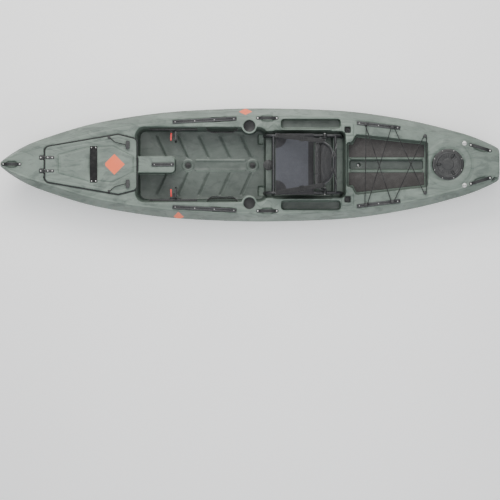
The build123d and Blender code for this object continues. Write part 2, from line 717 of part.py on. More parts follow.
def make_handle(handle, side, screws):
    """A bowed rubber grip between two screwed pads."""
    fore, aft = handle_pads(handle, side)
    span = (aft.origin - fore.origin).length
    along = (aft.origin - fore.origin).normalized()
    up = (fore.z_dir + aft.z_dir).normalized()
    cross = along.cross(up)
    plane = Plane(origin=(fore.origin + aft.origin) / 2, x_dir=along, z_dir=cross)
    inner = span / 2 - handle_pad / 2
    thick = handle_thickness
    # In this plane x runs along the handle and y is up or down, by the plane's own side.
    sign = 1 if plane.y_dir.dot(up) > 0 else -1
    with BuildPart() as grip:
        with BuildSketch(plane.offset(-handle_width / 2)):
            with BuildLine():
                upper = ThreePointArc((-inner, sign * thick), (0, sign * (handle_rise + thick)), (inner, sign * thick))
                Line(upper @ 1, (inner, 0))
                lower = ThreePointArc((inner, 0), (0, sign * handle_rise), (-inner, 0))
                Line(lower @ 1, upper @ 0)
            make_face()
        extrude(amount=handle_width)
        for pad in (fore, aft):
            add(disc(pad, handle_pad, 0, thick))
    part = grip.part
    for pad in (fore, aft):
        part -= disc(pad, handle_pad + 4, -20, 0)
        screws.append(disc(Plane(origin=pad.origin + pad.z_dir * 0, x_dir=pad.x_dir, z_dir=pad.z_dir), 6, thick, thick + 3))
    for screw in screws[-2:]:
        part -= screw
    return part


def make_handles():
    """The five carry handles and their screws."""
    screws = []
    grips = [make_handle(handle, side, screws) for handle, side in handles]
    keep("bow_handle", grips[0])
    keep("side_handle_right", grips[1])
    keep("side_handle_left", grips[2])
    keep("stern_handles", Compound(children=grips[3:]))
    keep("handle_screws", Compound(children=screws))


def anchor_plane(index, side):
    """The seat of one bungee anchor: on the rear track, or on the deck aft of it."""
    x, y = anchor_places[index]
    if index < 2:
        track_x, track_y, length, turn = rear_track
        lie = deck_plane(track_x, side * track_y, side * turn, reach=length / 2, sink=track_sink)
        along = (x - track_x) / math.cos(math.radians(turn))
        return Plane(origin=lie.from_local_coords(Vector(along, 0, track_height)), x_dir=lie.x_dir, z_dir=lie.z_dir)
    return deck_plane(x, side * y, sink=2, reach=anchor_base_radius)


def make_bungee():
    """Anchors, and one elastic cord laced across the load well between them."""
    anchors = []
    for index in range(3):
        for side in (1, -1):
            lie = anchor_plane(index, side)
            base_top = anchor_base_height
            head = base_top + anchor_post_height
            anchor = disc(lie, anchor_base_radius, 0, base_top)
            anchor += disc(lie, anchor_post_radius, base_top, head)
            anchor += disc(lie, anchor_head_radius, head, head + anchor_head_height)
            anchors.append(anchor)
    keep("bungee_anchors", Compound(children=anchors))
    stops = [(0, 1), (1, -1), (2, 1), (2, -1), (1, 1), (0, -1), (0, 1)]
    low, high = bungee_radius + 3, bungee_radius + 3 + bungee_crossing
    lifts = [low, low, low, high, high, high, high]
    centres = [anchor_plane(i, s).origin + anchor_plane(i, s).z_dir * (anchor_base_height + h) for (i, s), h in zip(stops, lifts)]
    route = [centres[0] + Vector(-bungee_turn_radius, 0, 0)] + centres[1:-1]
    route.append(centres[-1] + Vector(bungee_turn_radius * 0.2, -bungee_turn_radius * 1.3, 0))
    # Moving one corner turns its neighbours' runs, so the corners settle until each arc is centred on its post.
    for _ in range(8):
        for index in range(1, len(route) - 1):
            back = (route[index - 1] - route[index]).normalized()
            onward = (route[index + 1] - route[index]).normalized()
            outward = (back + onward).normalized() * -1
            half_turn = math.radians(back.get_angle(onward)) / 2
            route[index] = centres[index] + outward * (bungee_turn_radius / math.sin(half_turn))
    with BuildPart() as cord:
        with BuildLine() as path:
            FilletPolyline(*route, radius=bungee_turn_radius)
        with BuildSketch(Plane(origin=route[0], z_dir=path.wire() % 0)):
            Circle(bungee_radius)
        sweep()
    keep("load_bungee", cord.part)


def make_deck_pads():
    """Foam mats on the load well's floor, either side of the ridges."""
    inner = channel_half_width + ridge_width * 1.5 + 2
    margin = 6
    front, rear = tankwell_front_x + 8, tankwell_rear_x - 8
    notch = tankwell_shoulder[0] * 1.7
    outline = [
        (front, inner),
        (front, tankwell_front_half - tankwell_shoulder[1] / 2 - margin),
        (front + tankwell_shoulder[0] - 6, tankwell_front_half - tankwell_shoulder[1] / 2 - margin),
        (front + notch - 6, tankwell_shoulder_half - margin - 3),
        (rear, tankwell_rear_half - margin),
        (rear, inner),
    ]
    with BuildPart() as pad:
        with BuildSketch(Plane.XY.offset(tankwell_floor)):
            with BuildLine():
                Polyline(*outline, close=True)
            make_face()
        extrude(amount=6)
    keep_alike("deck_pads", pad.part)


def make_cups_and_sockets():
    """The cup liners and the square sleeves in the rod sockets."""
    x, y = cup_places()[0]
    floor = deck_height(x) - cup_depth
    liner = post(x, y, cup_radius - 0.05, floor, deck_height(x) - 2)
    liner -= post(x, y, cup_radius - cup_liner_wall, floor + cup_liner_floor, deck_height(x) + 5)
    keep_alike("cup_liners", liner)
    floor = deck_height(rod_socket_x) - rod_socket_depth
    lie = Plane.XY.move(Location((rod_socket_x, rod_socket_y, floor)))
    sleeve = block(lie, rod_socket_size - 0.2, rod_socket_size - 0.2, 0, rod_socket_depth + 3, 5.9)
    size = rod_socket_size - 2 * rod_sleeve_wall
    sleeve -= block(lie, size, size, rod_sleeve_wall, rod_socket_depth + 5, 3)
    keep_alike("rod_socket_sleeves", sleeve)


def make_scuppers():
    """The two plugs in the cockpit floor's drain holes."""
    for name, x in zip(("front", "rear"), scupper_x):
        top = cockpit_floor + plug_head_height
        plug = post(x, 0, scupper_radius - fit_gap, cockpit_floor - plug_stem_length, cockpit_floor)
        plug += post(x, 0, plug_head_radius, cockpit_floor, top)
        plug += block(Plane.XY.move(Location((x, 0, 0))), 30, 6, top, top + 10, 2)
        keep(f"scupper_plug_{name}", plug)


def make_small_fittings():
    """The access port, the drain, the tow eyes and the foam under the seat and console."""
    ring_seat = Plane.XY.move(Location((access_x, 0, ledge_height)))
    bore = access_cap_radius - 7
    keep("access_port_ring", disc(ring_seat, access_ring_radius, 0, access_ring_height, bore))
    top = access_ring_height
    cap = disc(ring_seat, access_cap_radius, top, top + access_cap_height)
    cap += disc(ring_seat, bore - 1, -6, top)
    for index in range(12):
        angle = math.radians(30 * index)
        spot = (access_x + (access_cap_radius + 1) * math.cos(angle), (access_cap_radius + 1) * math.sin(angle))
        cap -= post(*spot, 4, ledge_height + top, ledge_height + top + 20)
    keep("access_port_cap", cap)

    plane = drain_plane()
    keep("drain_bush", disc(plane, drain_bush_radius, -22, 0, drain_bore))
    plug = disc(plane, drain_bore - fit_gap, -20, 1) + disc(plane, drain_head_radius, 1, 8)
    plug += block(plane, 20, 5, 8, 15, 2)
    keep("drain_plug", plug)

    eyes = []
    for side in (1, -1):
        lie = deck_plane(tow_eye_x, side * tow_eye_y, sink=2, reach=tow_eye_base)
        eye = disc(lie, tow_eye_base, 0, 4)
        arch = Plane(origin=lie.origin + lie.z_dir * 4, x_dir=lie.x_dir, z_dir=lie.y_dir)
        with BuildPart() as loop:
            with BuildLine() as bow:
                ThreePointArc(arch.from_local_coords((-12, 0)), arch.from_local_coords((0, -14)), arch.from_local_coords((12, 0)))
            with BuildSketch(Plane(origin=bow.line @ 0, z_dir=bow.line % 0)):
                Circle(2.5)
            sweep()
        eyes.append(eye + loop.part)
    keep("tow_eyes", Compound(children=eyes))

    foam = []
    for (front, rear), floor in zip(foam_x, (cockpit_floor, seat_well_floor)):
        lie = Plane.XY.move(Location(((front + rear) / 2, 0, 0)))
        foam.append(block(lie, rear - front, 2 * foam_half_width, wall + 8, floor - wall - 0.3, 8))
    keep("foam_supports", Compound(children=foam))


# ---------------------------------------------------------------- foot braces and side pockets


def along_wall(x_from, x_to, half_width, low, high, z=rail_height_z):
    """A bar along the cockpit wall: half its width up and down the wall, from low to high inboard."""
    lie = wall_plane((x_from + x_to) / 2, z)
    return block(lie, x_to - x_from, 2 * half_width, low, high)


def make_foot_braces():
    """A rail on each cockpit wall, with a sliding pedal and its release lever."""
    rail = along_wall(*rail_x, rail_width / 2, 0, rail_depth)
    cavity_width, cavity_depth = rail_cavity
    inside = (rail_x[0] + 8, rail_x[1] - 8)
    rail -= along_wall(*inside, cavity_width / 2, rail_back, rail_back + cavity_depth)
    rail -= along_wall(*inside, rail_slot / 2, rail_back, rail_depth + 1)
    keep_alike("foot_rails", rail)
    ends = (lever_pivot_x - 16, lever_pivot_x - 16 + slider_length)
    slider = along_wall(*ends, cavity_width / 2 - fit_gap, rail_back + fit_gap, rail_back + cavity_depth - fit_gap)
    slider += along_wall(*ends, rail_slot / 2 - fit_gap, rail_back + fit_gap, rail_depth + 1)
    slider += along_wall(*ends, rail_width / 2, rail_depth + 1, rail_depth + 7)
    lie = wall_plane(pedal_x, rail_height_z - 4)
    pedal = block(lie, pedal_thickness, pedal_height, rail_depth + 7, rail_depth + 7 + pedal_reach)
    pedal = fillet(pedal.edges().filter_by(Axis.X), 14)
    for level in (-34, -17, 0, 17, 34):
        rib = wall_plane(pedal_x + pedal_thickness / 2, rail_height_z - 4 + level)
        pedal += block(rib, 5, 5, rail_depth + 20, rail_depth + pedal_reach - 8)
    stay = block(wall_plane(pedal_x - 14, rail_height_z - 16), 16, 10, rail_depth + 6, rail_depth + 44)
    pivot = wall_plane(lever_pivot_x, rail_height_z)
    lug = block(pivot, 16, 20, rail_depth + 6, rail_depth + 20)
    lug -= block(pivot, 18, lever_thickness + 1, rail_depth + 7.5, rail_depth + 21)
    pin_plane = Plane(origin=pivot.origin + pivot.z_dir * (rail_depth + 14), x_dir=(1, 0, 0), z_dir=pivot.y_dir)
    pin = disc(pin_plane, lever_pin_radius, -10, 10)
    slider += pedal
    slider += stay
    slider += lug
    slider += pin
    keep_pair("foot_pedal", slider)
    lever_plane = Plane(origin=pin_plane.origin, x_dir=(1, 0, 0), z_dir=pivot.y_dir)
    inboard = -1 if lever_plane.y_dir.dot(pivot.z_dir) < 0 else 1
    with BuildPart() as lever:
        with BuildSketch(lever_plane.offset(-lever_thickness / 2)):
            Circle(5.5)
            with BuildLine():
                Polyline((-5.5, 0), (5.5, 0), (3, inboard * lever_reach), (-lever_width / 2, inboard * lever_reach), close=True)
            make_face()
            Circle(lever_pin_radius + pin_clearance, mode=Mode.SUBTRACT)
        extrude(amount=lever_thickness)
    keep_pair("release_lever", lever.part)


def make_side_pockets():
    """The mesh pockets on the cockpit walls."""
    low, high = pocket_z
    thin, thick = pocket_thickness
    lean = math.tan(math.radians(draft))
    foot = cockpit_half_width + lean * (low - cockpit_floor) - fit_gap / math.cos(math.radians(draft))
    head = foot + lean * (high - low)
    with BuildPart() as pocket:
        with BuildSketch(Plane.YZ.offset(pocket_x[0])):
            with BuildLine():
                Polyline((foot, low), (head, high), (head - thick, high), (foot - thin, low), close=True)
            make_face()
        extrude(amount=pocket_x[1] - pocket_x[0])
    keep_alike("side_pockets", pocket.part)


# ---------------------------------------------------------------- seat


def tube(points, radius, bends=None):
    """A round tube along straight runs with bent corners, or along a smooth curve."""
    with BuildPart() as body:
        with BuildLine() as route:
            if bends:
                FilletPolyline(*points, radius=bends)
            elif len(points) == 2:
                Line(*points)
            else:
                Spline(*points)
        with BuildSketch(Plane(origin=points[0], z_dir=route.wire() % 0)):
            Circle(radius)
        sweep()
    return body.part


def make_seat_frame():
    """The bent side frames of the seat, their feet and the two cross tubes."""
    y = seat_half_width
    foot = ledge_height + foot_cap_wall
    side = tube(
        [(seat_front_foot_x, y, foot), (seat_front_x, y, seat_rail_z), (seat_rear_x, y, seat_rail_z), (seat_rear_foot_x, y, foot)],
        seat_tube, seat_bend,
    )
    lower_z = ledge_height + foot_cap_height + seat_tube + 4
    side += tube([(seat_front_foot_x, y, lower_z), (seat_rear_foot_x, y, lower_z)], post_radius)
    for x in post_x:
        side += tube([(x, y, lower_z), (x, y, seat_rail_z)], post_radius)
    keep_pair("seat_side_frame", side)
    caps = []
    for x in (seat_front_foot_x, seat_rear_foot_x):
        for hand in (1, -1):
            caps.append(post(x, hand * y, seat_tube + foot_cap_wall, ledge_height, foot + foot_cap_height - 6))
    caps = [cap - made["seat_side_frame_right"] - made["seat_side_frame_left"] for cap in caps]
    keep("seat_foot_caps", Compound(children=caps))
    bars = []
    for x in (front_cross_x, rear_cross_x):
        bar = tube([(x, -y, seat_rail_z), (x, y, seat_rail_z)], cross_tube_radius)
        bar -= made["seat_side_frame_right"]
        bar -= made["seat_side_frame_left"]
        bars.append(bar.solids().sort_by(SortBy.VOLUME)[-1])
    keep("seat_cross_tubes", Compound(children=bars))


def make_sling():
    """The seat fabric, sagging between the two side rails."""
    edge = seat_half_width - seat_tube - fit_gap
    top = seat_rail_z
    with BuildPart() as sling:
        with BuildSketch(Plane.YZ.offset(sling_x[0])):
            with BuildLine():
                upper = ThreePointArc((-edge, top), (0, top - sling_sag), (edge, top))
                Line(upper @ 1, (edge, top - sling_thickness))
                lower = ThreePointArc((edge, top - sling_thickness), (0, top - sling_sag - sling_thickness), (-edge, top - sling_thickness))
                Line(lower @ 1, upper @ 0)
            make_face()
        extrude(amount=sling_x[1] - sling_x[0])
    keep("seat_sling", sling.part)


def back_points(side):
    """The bends of one side of the back frame."""
    half = seat_half_width - seat_tube - back_gap - back_tube
    return [Vector(x, side * half * share, z) for x, z, share in back_line]


def back_outline():
    """The back frame's whole run, from the port pivot over the top to the starboard one."""
    return back_points(-1) + [Vector(back_top[0], 0, back_top[1])] + list(reversed(back_points(1)))


def make_back():
    """The bent back frame with its pivots, and the pad in front of it."""
    frame = tube(back_outline(), back_tube)
    for side in (1, -1):
        point = back_points(side)[0]
        inner, outer = side * (abs(point.Y) - back_tube), side * (abs(point.Y) + back_tube + back_gap - 0.5)
        eye = across(Vector(point.X, (inner + outer) / 2, point.Z), 13, abs(outer - inner) / 2)
        frame += eye
        frame -= across(Vector(point.X, (inner + outer) / 2, point.Z), pivot_bolt_radius + pin_clearance, 40)
    keep("back_frame", frame)
    brackets, bolts = [], []
    for side in (1, -1):
        rail_y = side * seat_half_width
        x, z = back_pivot
        bracket = across(Vector(x, rail_y, z), pivot_plate_radius, seat_tube) - made["seat_side_frame_right"] - made["seat_side_frame_left"]
        bracket -= across(Vector(x, rail_y, z), pivot_bolt_radius, 60)
        brackets.append(bracket.solids().sort_by(SortBy.VOLUME)[-1])
        inner = seat_half_width - seat_tube - back_gap - 2 * back_tube - 0.5
        outer = seat_half_width + seat_tube
        middle = side * (inner + outer) / 2
        bolt = across(Vector(x, middle, z), pivot_bolt_radius, (outer - inner) / 2 + 1)
        bolt += across(Vector(x, side * (inner - pivot_head_height / 2), z), pivot_head_radius, pivot_head_height / 2)
        bolt += across(Vector(x, side * (outer + pivot_head_height / 2), z), pivot_head_radius, pivot_head_height / 2)
        bolts.append(bolt)
    keep("back_pivot_brackets", Compound(children=brackets))
    keep("back_pivot_bolts", Compound(children=bolts))

    back = [(x + pad_thickness, z) for x, z in pad_front]
    with BuildPart() as pad:
        with BuildSketch(Plane.XZ.offset(-pad_half_width)):
            with BuildLine():
                front_curve = Spline(*pad_front)
                Line(front_curve @ 1, back[-1])
                rear_curve = Spline(*reversed(back))
                Line(rear_curve @ 1, front_curve @ 0)
            make_face()
        extrude(amount=2 * pad_half_width)
    keep("back_pad", pad.part)


def webbing(start, end, width, thickness, face):
    """A flat strap between two points. Its face looks along the given direction."""
    along = end - start
    middle = (start + end) / 2
    lie = Plane(origin=middle, x_dir=along.normalized(), z_dir=face)
    return block(lie, along.length, width, -thickness / 2, thickness / 2)


def make_straps():
    """The four webbing straps that hold the back, and their buckles."""
    rail_points = [Vector(seat_front_x, seat_half_width, seat_rail_z), Vector(seat_rear_x, seat_half_width, seat_rail_z)]
    rail_room = tube(rail_points, seat_tube + fit_gap)
    frame_room = tube(back_outline(), back_tube + fit_gap)
    cross_points = [Vector(rear_cross_x, -seat_half_width, seat_rail_z), Vector(rear_cross_x, seat_half_width, seat_rail_z)]
    cross_room = tube(cross_points, cross_tube_radius + fit_gap)
    start = Vector(recline_foot[0], seat_half_width, recline_foot[1])
    end = Vector(recline_top[0], recline_top_y, recline_top[1])
    along = (end - start).normalized()
    face = along.cross(Vector(0, 0, 1)).normalized()
    strap = webbing(start, end, recline_strap_width, strap_thickness, face) - rail_room - frame_room
    strap = strap.solids().sort_by(SortBy.VOLUME)[-1]
    middle = start + (end - start) * 0.55
    lie = Plane(origin=middle, x_dir=along, z_dir=face)
    buckle = block(lie, buckle_size[0], recline_strap_width + 8, strap_thickness / 2, strap_thickness / 2 + buckle_size[1], 4)
    keep_pair("recline_strap", Compound(children=[strap, buckle]))
    start = Vector(rear_strap_foot[0], rear_strap_y[0], rear_strap_foot[1])
    end = Vector(rear_strap_top[0], rear_strap_y[1], rear_strap_top[1])
    along = (end - start).normalized()
    face = (Vector(1, 0, 0) - along * along.X).normalized()
    strap = webbing(start, end, rear_strap_width, strap_thickness, face) - cross_room - frame_room
    strap = strap.solids().sort_by(SortBy.VOLUME)[-1]
    lie = Plane(origin=start + (end - start) * 0.62, x_dir=along, z_dir=face)
    length, depth = buckle_size
    buckle = block(lie, length, rear_strap_width + 8, strap_thickness / 2, strap_thickness / 2 + depth, 4)
    keep_pair("rear_strap", Compound(children=[strap, buckle]))


def export_all():
    """Write every piece to its own file."""
    os.makedirs("parts", exist_ok=True)
    for name, part in made.items():
        export_step(part, f"parts/{name}.step")


keep("hull", make_hull())
make_bow_hatch()
make_round_hatch()
make_tracks()
make_handles()
make_bungee()
make_deck_pads()
make_cups_and_sockets()
make_scuppers()
make_small_fittings()
make_foot_braces()
make_side_pockets()
make_seat_frame()
make_sling()
make_back()
make_straps()
export_all()
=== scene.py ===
import json
import math

import bmesh
import bpy
import numpy as np
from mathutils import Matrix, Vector
from mathutils.bvhtree import BVHTree


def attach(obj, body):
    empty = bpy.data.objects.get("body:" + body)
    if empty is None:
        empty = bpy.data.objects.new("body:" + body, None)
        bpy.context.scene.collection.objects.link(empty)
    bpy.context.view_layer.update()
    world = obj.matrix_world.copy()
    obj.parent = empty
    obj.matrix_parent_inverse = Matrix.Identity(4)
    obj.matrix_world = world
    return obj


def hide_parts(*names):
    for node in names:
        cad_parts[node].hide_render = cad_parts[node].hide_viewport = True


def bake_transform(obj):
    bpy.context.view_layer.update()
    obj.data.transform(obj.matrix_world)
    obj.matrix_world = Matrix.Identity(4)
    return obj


bl_info = {
    "name": "Sit-on-top fishing kayak",
    "version": (1, 0, 0),
    "blender": (4, 5, 0),
    "location": "3D View > Sidebar > Kayak",
    "description": "Finished surfaces of a moulded sit-on-top kayak, round its fixed solid frame",
    "category": "Add Mesh",
}

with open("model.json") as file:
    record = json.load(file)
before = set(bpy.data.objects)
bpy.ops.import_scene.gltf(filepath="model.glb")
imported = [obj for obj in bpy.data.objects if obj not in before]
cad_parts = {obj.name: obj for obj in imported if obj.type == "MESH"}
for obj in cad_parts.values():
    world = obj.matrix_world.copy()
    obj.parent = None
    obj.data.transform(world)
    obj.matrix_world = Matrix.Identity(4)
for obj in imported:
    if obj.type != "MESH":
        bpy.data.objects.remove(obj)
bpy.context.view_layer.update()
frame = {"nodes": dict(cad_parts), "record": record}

record = frame["record"]
body_of_node = {node: body for body, nodes in record["behaviour"]["bodies"].items() for node in nodes}
slot_of_node = {row["node"]: row["material_slot"] for row in record["subparts"]}

weld_distance = 2e-6

# The slanting drain grooves in the cockpit floor: how near the middle and the walls they run.
groove_inner = 0.052
groove_outer = 0.232
groove_lean = 0.080 / (groove_outer - groove_inner)
groove_first = -0.716
groove_spacing = 0.161
flat_angle = math.radians(0.4)
crease_angle = math.radians(36)

# Stations along the hull: share of its length, half-breadth share and deck height in metres.
hull_length = 3.75
half_beam = 0.429
stations = np.array([
    (0.000, 0.040, 0.408), (0.012, 0.130, 0.411), (0.030, 0.237, 0.409), (0.060, 0.377, 0.398),
    (0.100, 0.509, 0.381), (0.180, 0.720, 0.360), (0.281, 0.877, 0.343), (0.381, 0.965, 0.333),
    (0.501, 1.000, 0.326), (0.622, 0.988, 0.328), (0.722, 0.925, 0.334), (0.822, 0.789, 0.344),
    (0.903, 0.614, 0.358), (0.953, 0.477, 0.376), (0.979, 0.377, 0.386), (0.992, 0.320, 0.390),
    (1.000, 0.240, 0.392),
])


# ---------------------------------------------------------------- sizes and colours


class KayakSizes(bpy.types.PropertyGroup):
    """Sizes of the soft edges and of the moulded and sewn detail."""

    skin_voxel: bpy.props.FloatProperty(
        name="Skin mesh size", description="Mesh size of the moulded hull skin",
        default=0.005, min=0.004, max=0.02, unit="LENGTH")
    lid_voxel: bpy.props.FloatProperty(
        name="Lid mesh size", description="Mesh size of the moulded hatch lid",
        default=0.0035, min=0.002, max=0.01, unit="LENGTH")
    groove_depth: bpy.props.FloatProperty(
        name="Floor groove depth", description="Depth of the drain grooves in the cockpit floor",
        default=0.006, min=0.0, max=0.01, unit="LENGTH")
    sling_thickness: bpy.props.FloatProperty(
        name="Sling thickness", description="Thickness of the seat fabric",
        default=0.0024, min=0.001, max=0.004, unit="LENGTH")
    strap_thickness: bpy.props.FloatProperty(
        name="Strap thickness", description="Thickness of the webbing straps",
        default=0.0022, min=0.001, max=0.004, unit="LENGTH")


class KayakColours(bpy.types.PropertyGroup):
    """Colours of the moulded plastic, the fabric and the floor."""

    pale_plastic: bpy.props.FloatVectorProperty(
        name="Pale marbling", description="Lightest colour in the marbled plastic",
        default=(0.2, 0.25, 0.212), size=3, min=0.0, max=1.0, subtype="COLOR")
    body_plastic: bpy.props.FloatVectorProperty(
        name="Body plastic", description="Main colour of the marbled plastic",
        default=(0.125, 0.16, 0.135), size=3, min=0.0, max=1.0, subtype="COLOR")
    dark_plastic: bpy.props.FloatVectorProperty(
        name="Dark marbling", description="Darkest colour in the marbled plastic",
        default=(0.055, 0.074, 0.064), size=3, min=0.0, max=1.0, subtype="COLOR")
    sling_fabric: bpy.props.FloatVectorProperty(
        name="Sling fabric", description="Colour of the seat fabric",
        default=(0.058, 0.061, 0.072), size=3, min=0.0, max=1.0, subtype="COLOR")
    accent: bpy.props.FloatVectorProperty(
        name="Accent", description="Colour of the plain accent patches",
        default=(0.86, 0.15, 0.055), size=3, min=0.0, max=1.0, subtype="COLOR")
    floor: bpy.props.FloatVectorProperty(
        name="Floor", description="Colour of the studio floor",
        default=(0.95, 0.95, 0.945), size=3, min=0.0, max=1.0, subtype="COLOR")


# ---------------------------------------------------------------- node helpers


def node(tree, kind, **settings):
    """A new node of that kind with its settings."""
    made = tree.nodes.new(kind)
    for key, value in settings.items():
        setattr(made, key, value)
    return made


def feed(tree, value, socket):
    """A link into the socket, or its plain value."""
    if isinstance(value, bpy.types.NodeSocket):
        tree.links.new(value, socket)
    else:
        socket.default_value = value


def maths(tree, operation, first, second=0.0, clamp=False):
    made = node(tree, "ShaderNodeMath", operation=operation, use_clamp=clamp)
    feed(tree, first, made.inputs[0])
    feed(tree, second, made.inputs[1])
    return made.outputs[0]


def noise(tree, place, scale, detail=3.0, roughness=0.55, distortion=0.0):
    made = node(tree, "ShaderNodeTexNoise")
    for label, value in (("Vector", place), ("Scale", scale), ("Detail", detail),
                         ("Roughness", roughness), ("Distortion", distortion)):
        feed(tree, value, made.inputs[label])
    return made.outputs["Fac"]


def ramp(tree, value, low, high, to_low=0.0, to_high=1.0):
    """The value carried smoothly from one range to another."""
    made = node(tree, "ShaderNodeMapRange", interpolation_type="SMOOTHSTEP")
    for index, number in enumerate((value, low, high, to_low, to_high)):
        feed(tree, number, made.inputs[index])
    return made.outputs[0]


def between(tree, value, rise, fall):
    """1 between two edges, each a pair of values that it rises or falls over."""
    return maths(tree, "MULTIPLY", ramp(tree, value, *rise), ramp(tree, value, *fall, 1.0, 0.0))


def distance_from(tree, value, middle):
    return maths(tree, "ABSOLUTE", maths(tree, "SUBTRACT", value, middle))


def blend_colour(tree, share, first, second):
    made = node(tree, "ShaderNodeMix", data_type="RGBA")
    feed(tree, share, made.inputs[0])
    feed(tree, first, made.inputs[6])
    feed(tree, second, made.inputs[7])
    return made.outputs[2]


def stretched(tree, place, scale, turn=0.0):
    made = node(tree, "ShaderNodeMapping")
    feed(tree, place, made.inputs["Vector"])
    made.inputs["Rotation"].default_value = (0, 0, turn)
    made.inputs["Scale"].default_value = scale
    return made.outputs["Vector"]


def parts_of(tree, vector):
    made = node(tree, "ShaderNodeSeparateXYZ")
    feed(tree, vector, made.inputs[0])
    return made.outputs


def object_place(tree):
    return node(tree, "ShaderNodeTexCoord").outputs["Object"]


def cloth_place(tree):
    return node(tree, "ShaderNodeTexCoord").outputs["UV"]


def effect(name, inputs, outputs):
    """An empty node group with named sockets."""
    tree = bpy.data.node_groups.new(name, "ShaderNodeTree")
    for label, kind, value in inputs:
        socket = tree.interface.new_socket(name=label, in_out="INPUT", socket_type="NodeSocket" + kind)
        socket.default_value = value
    for label, kind in outputs:
        tree.interface.new_socket(name=label, in_out="OUTPUT", socket_type="NodeSocket" + kind)
    return tree, node(tree, "NodeGroupInput").outputs, node(tree, "NodeGroupOutput").inputs


def use(tree, name, **values):
    """An effect placed in a material with its own values."""
    made = node(tree, "ShaderNodeGroup", node_tree=bpy.data.node_groups[name])
    for label, value in values.items():
        feed(tree, value, made.inputs[label.replace("_", " ")])
    return made.outputs


# ---------------------------------------------------------------- effects shared by materials


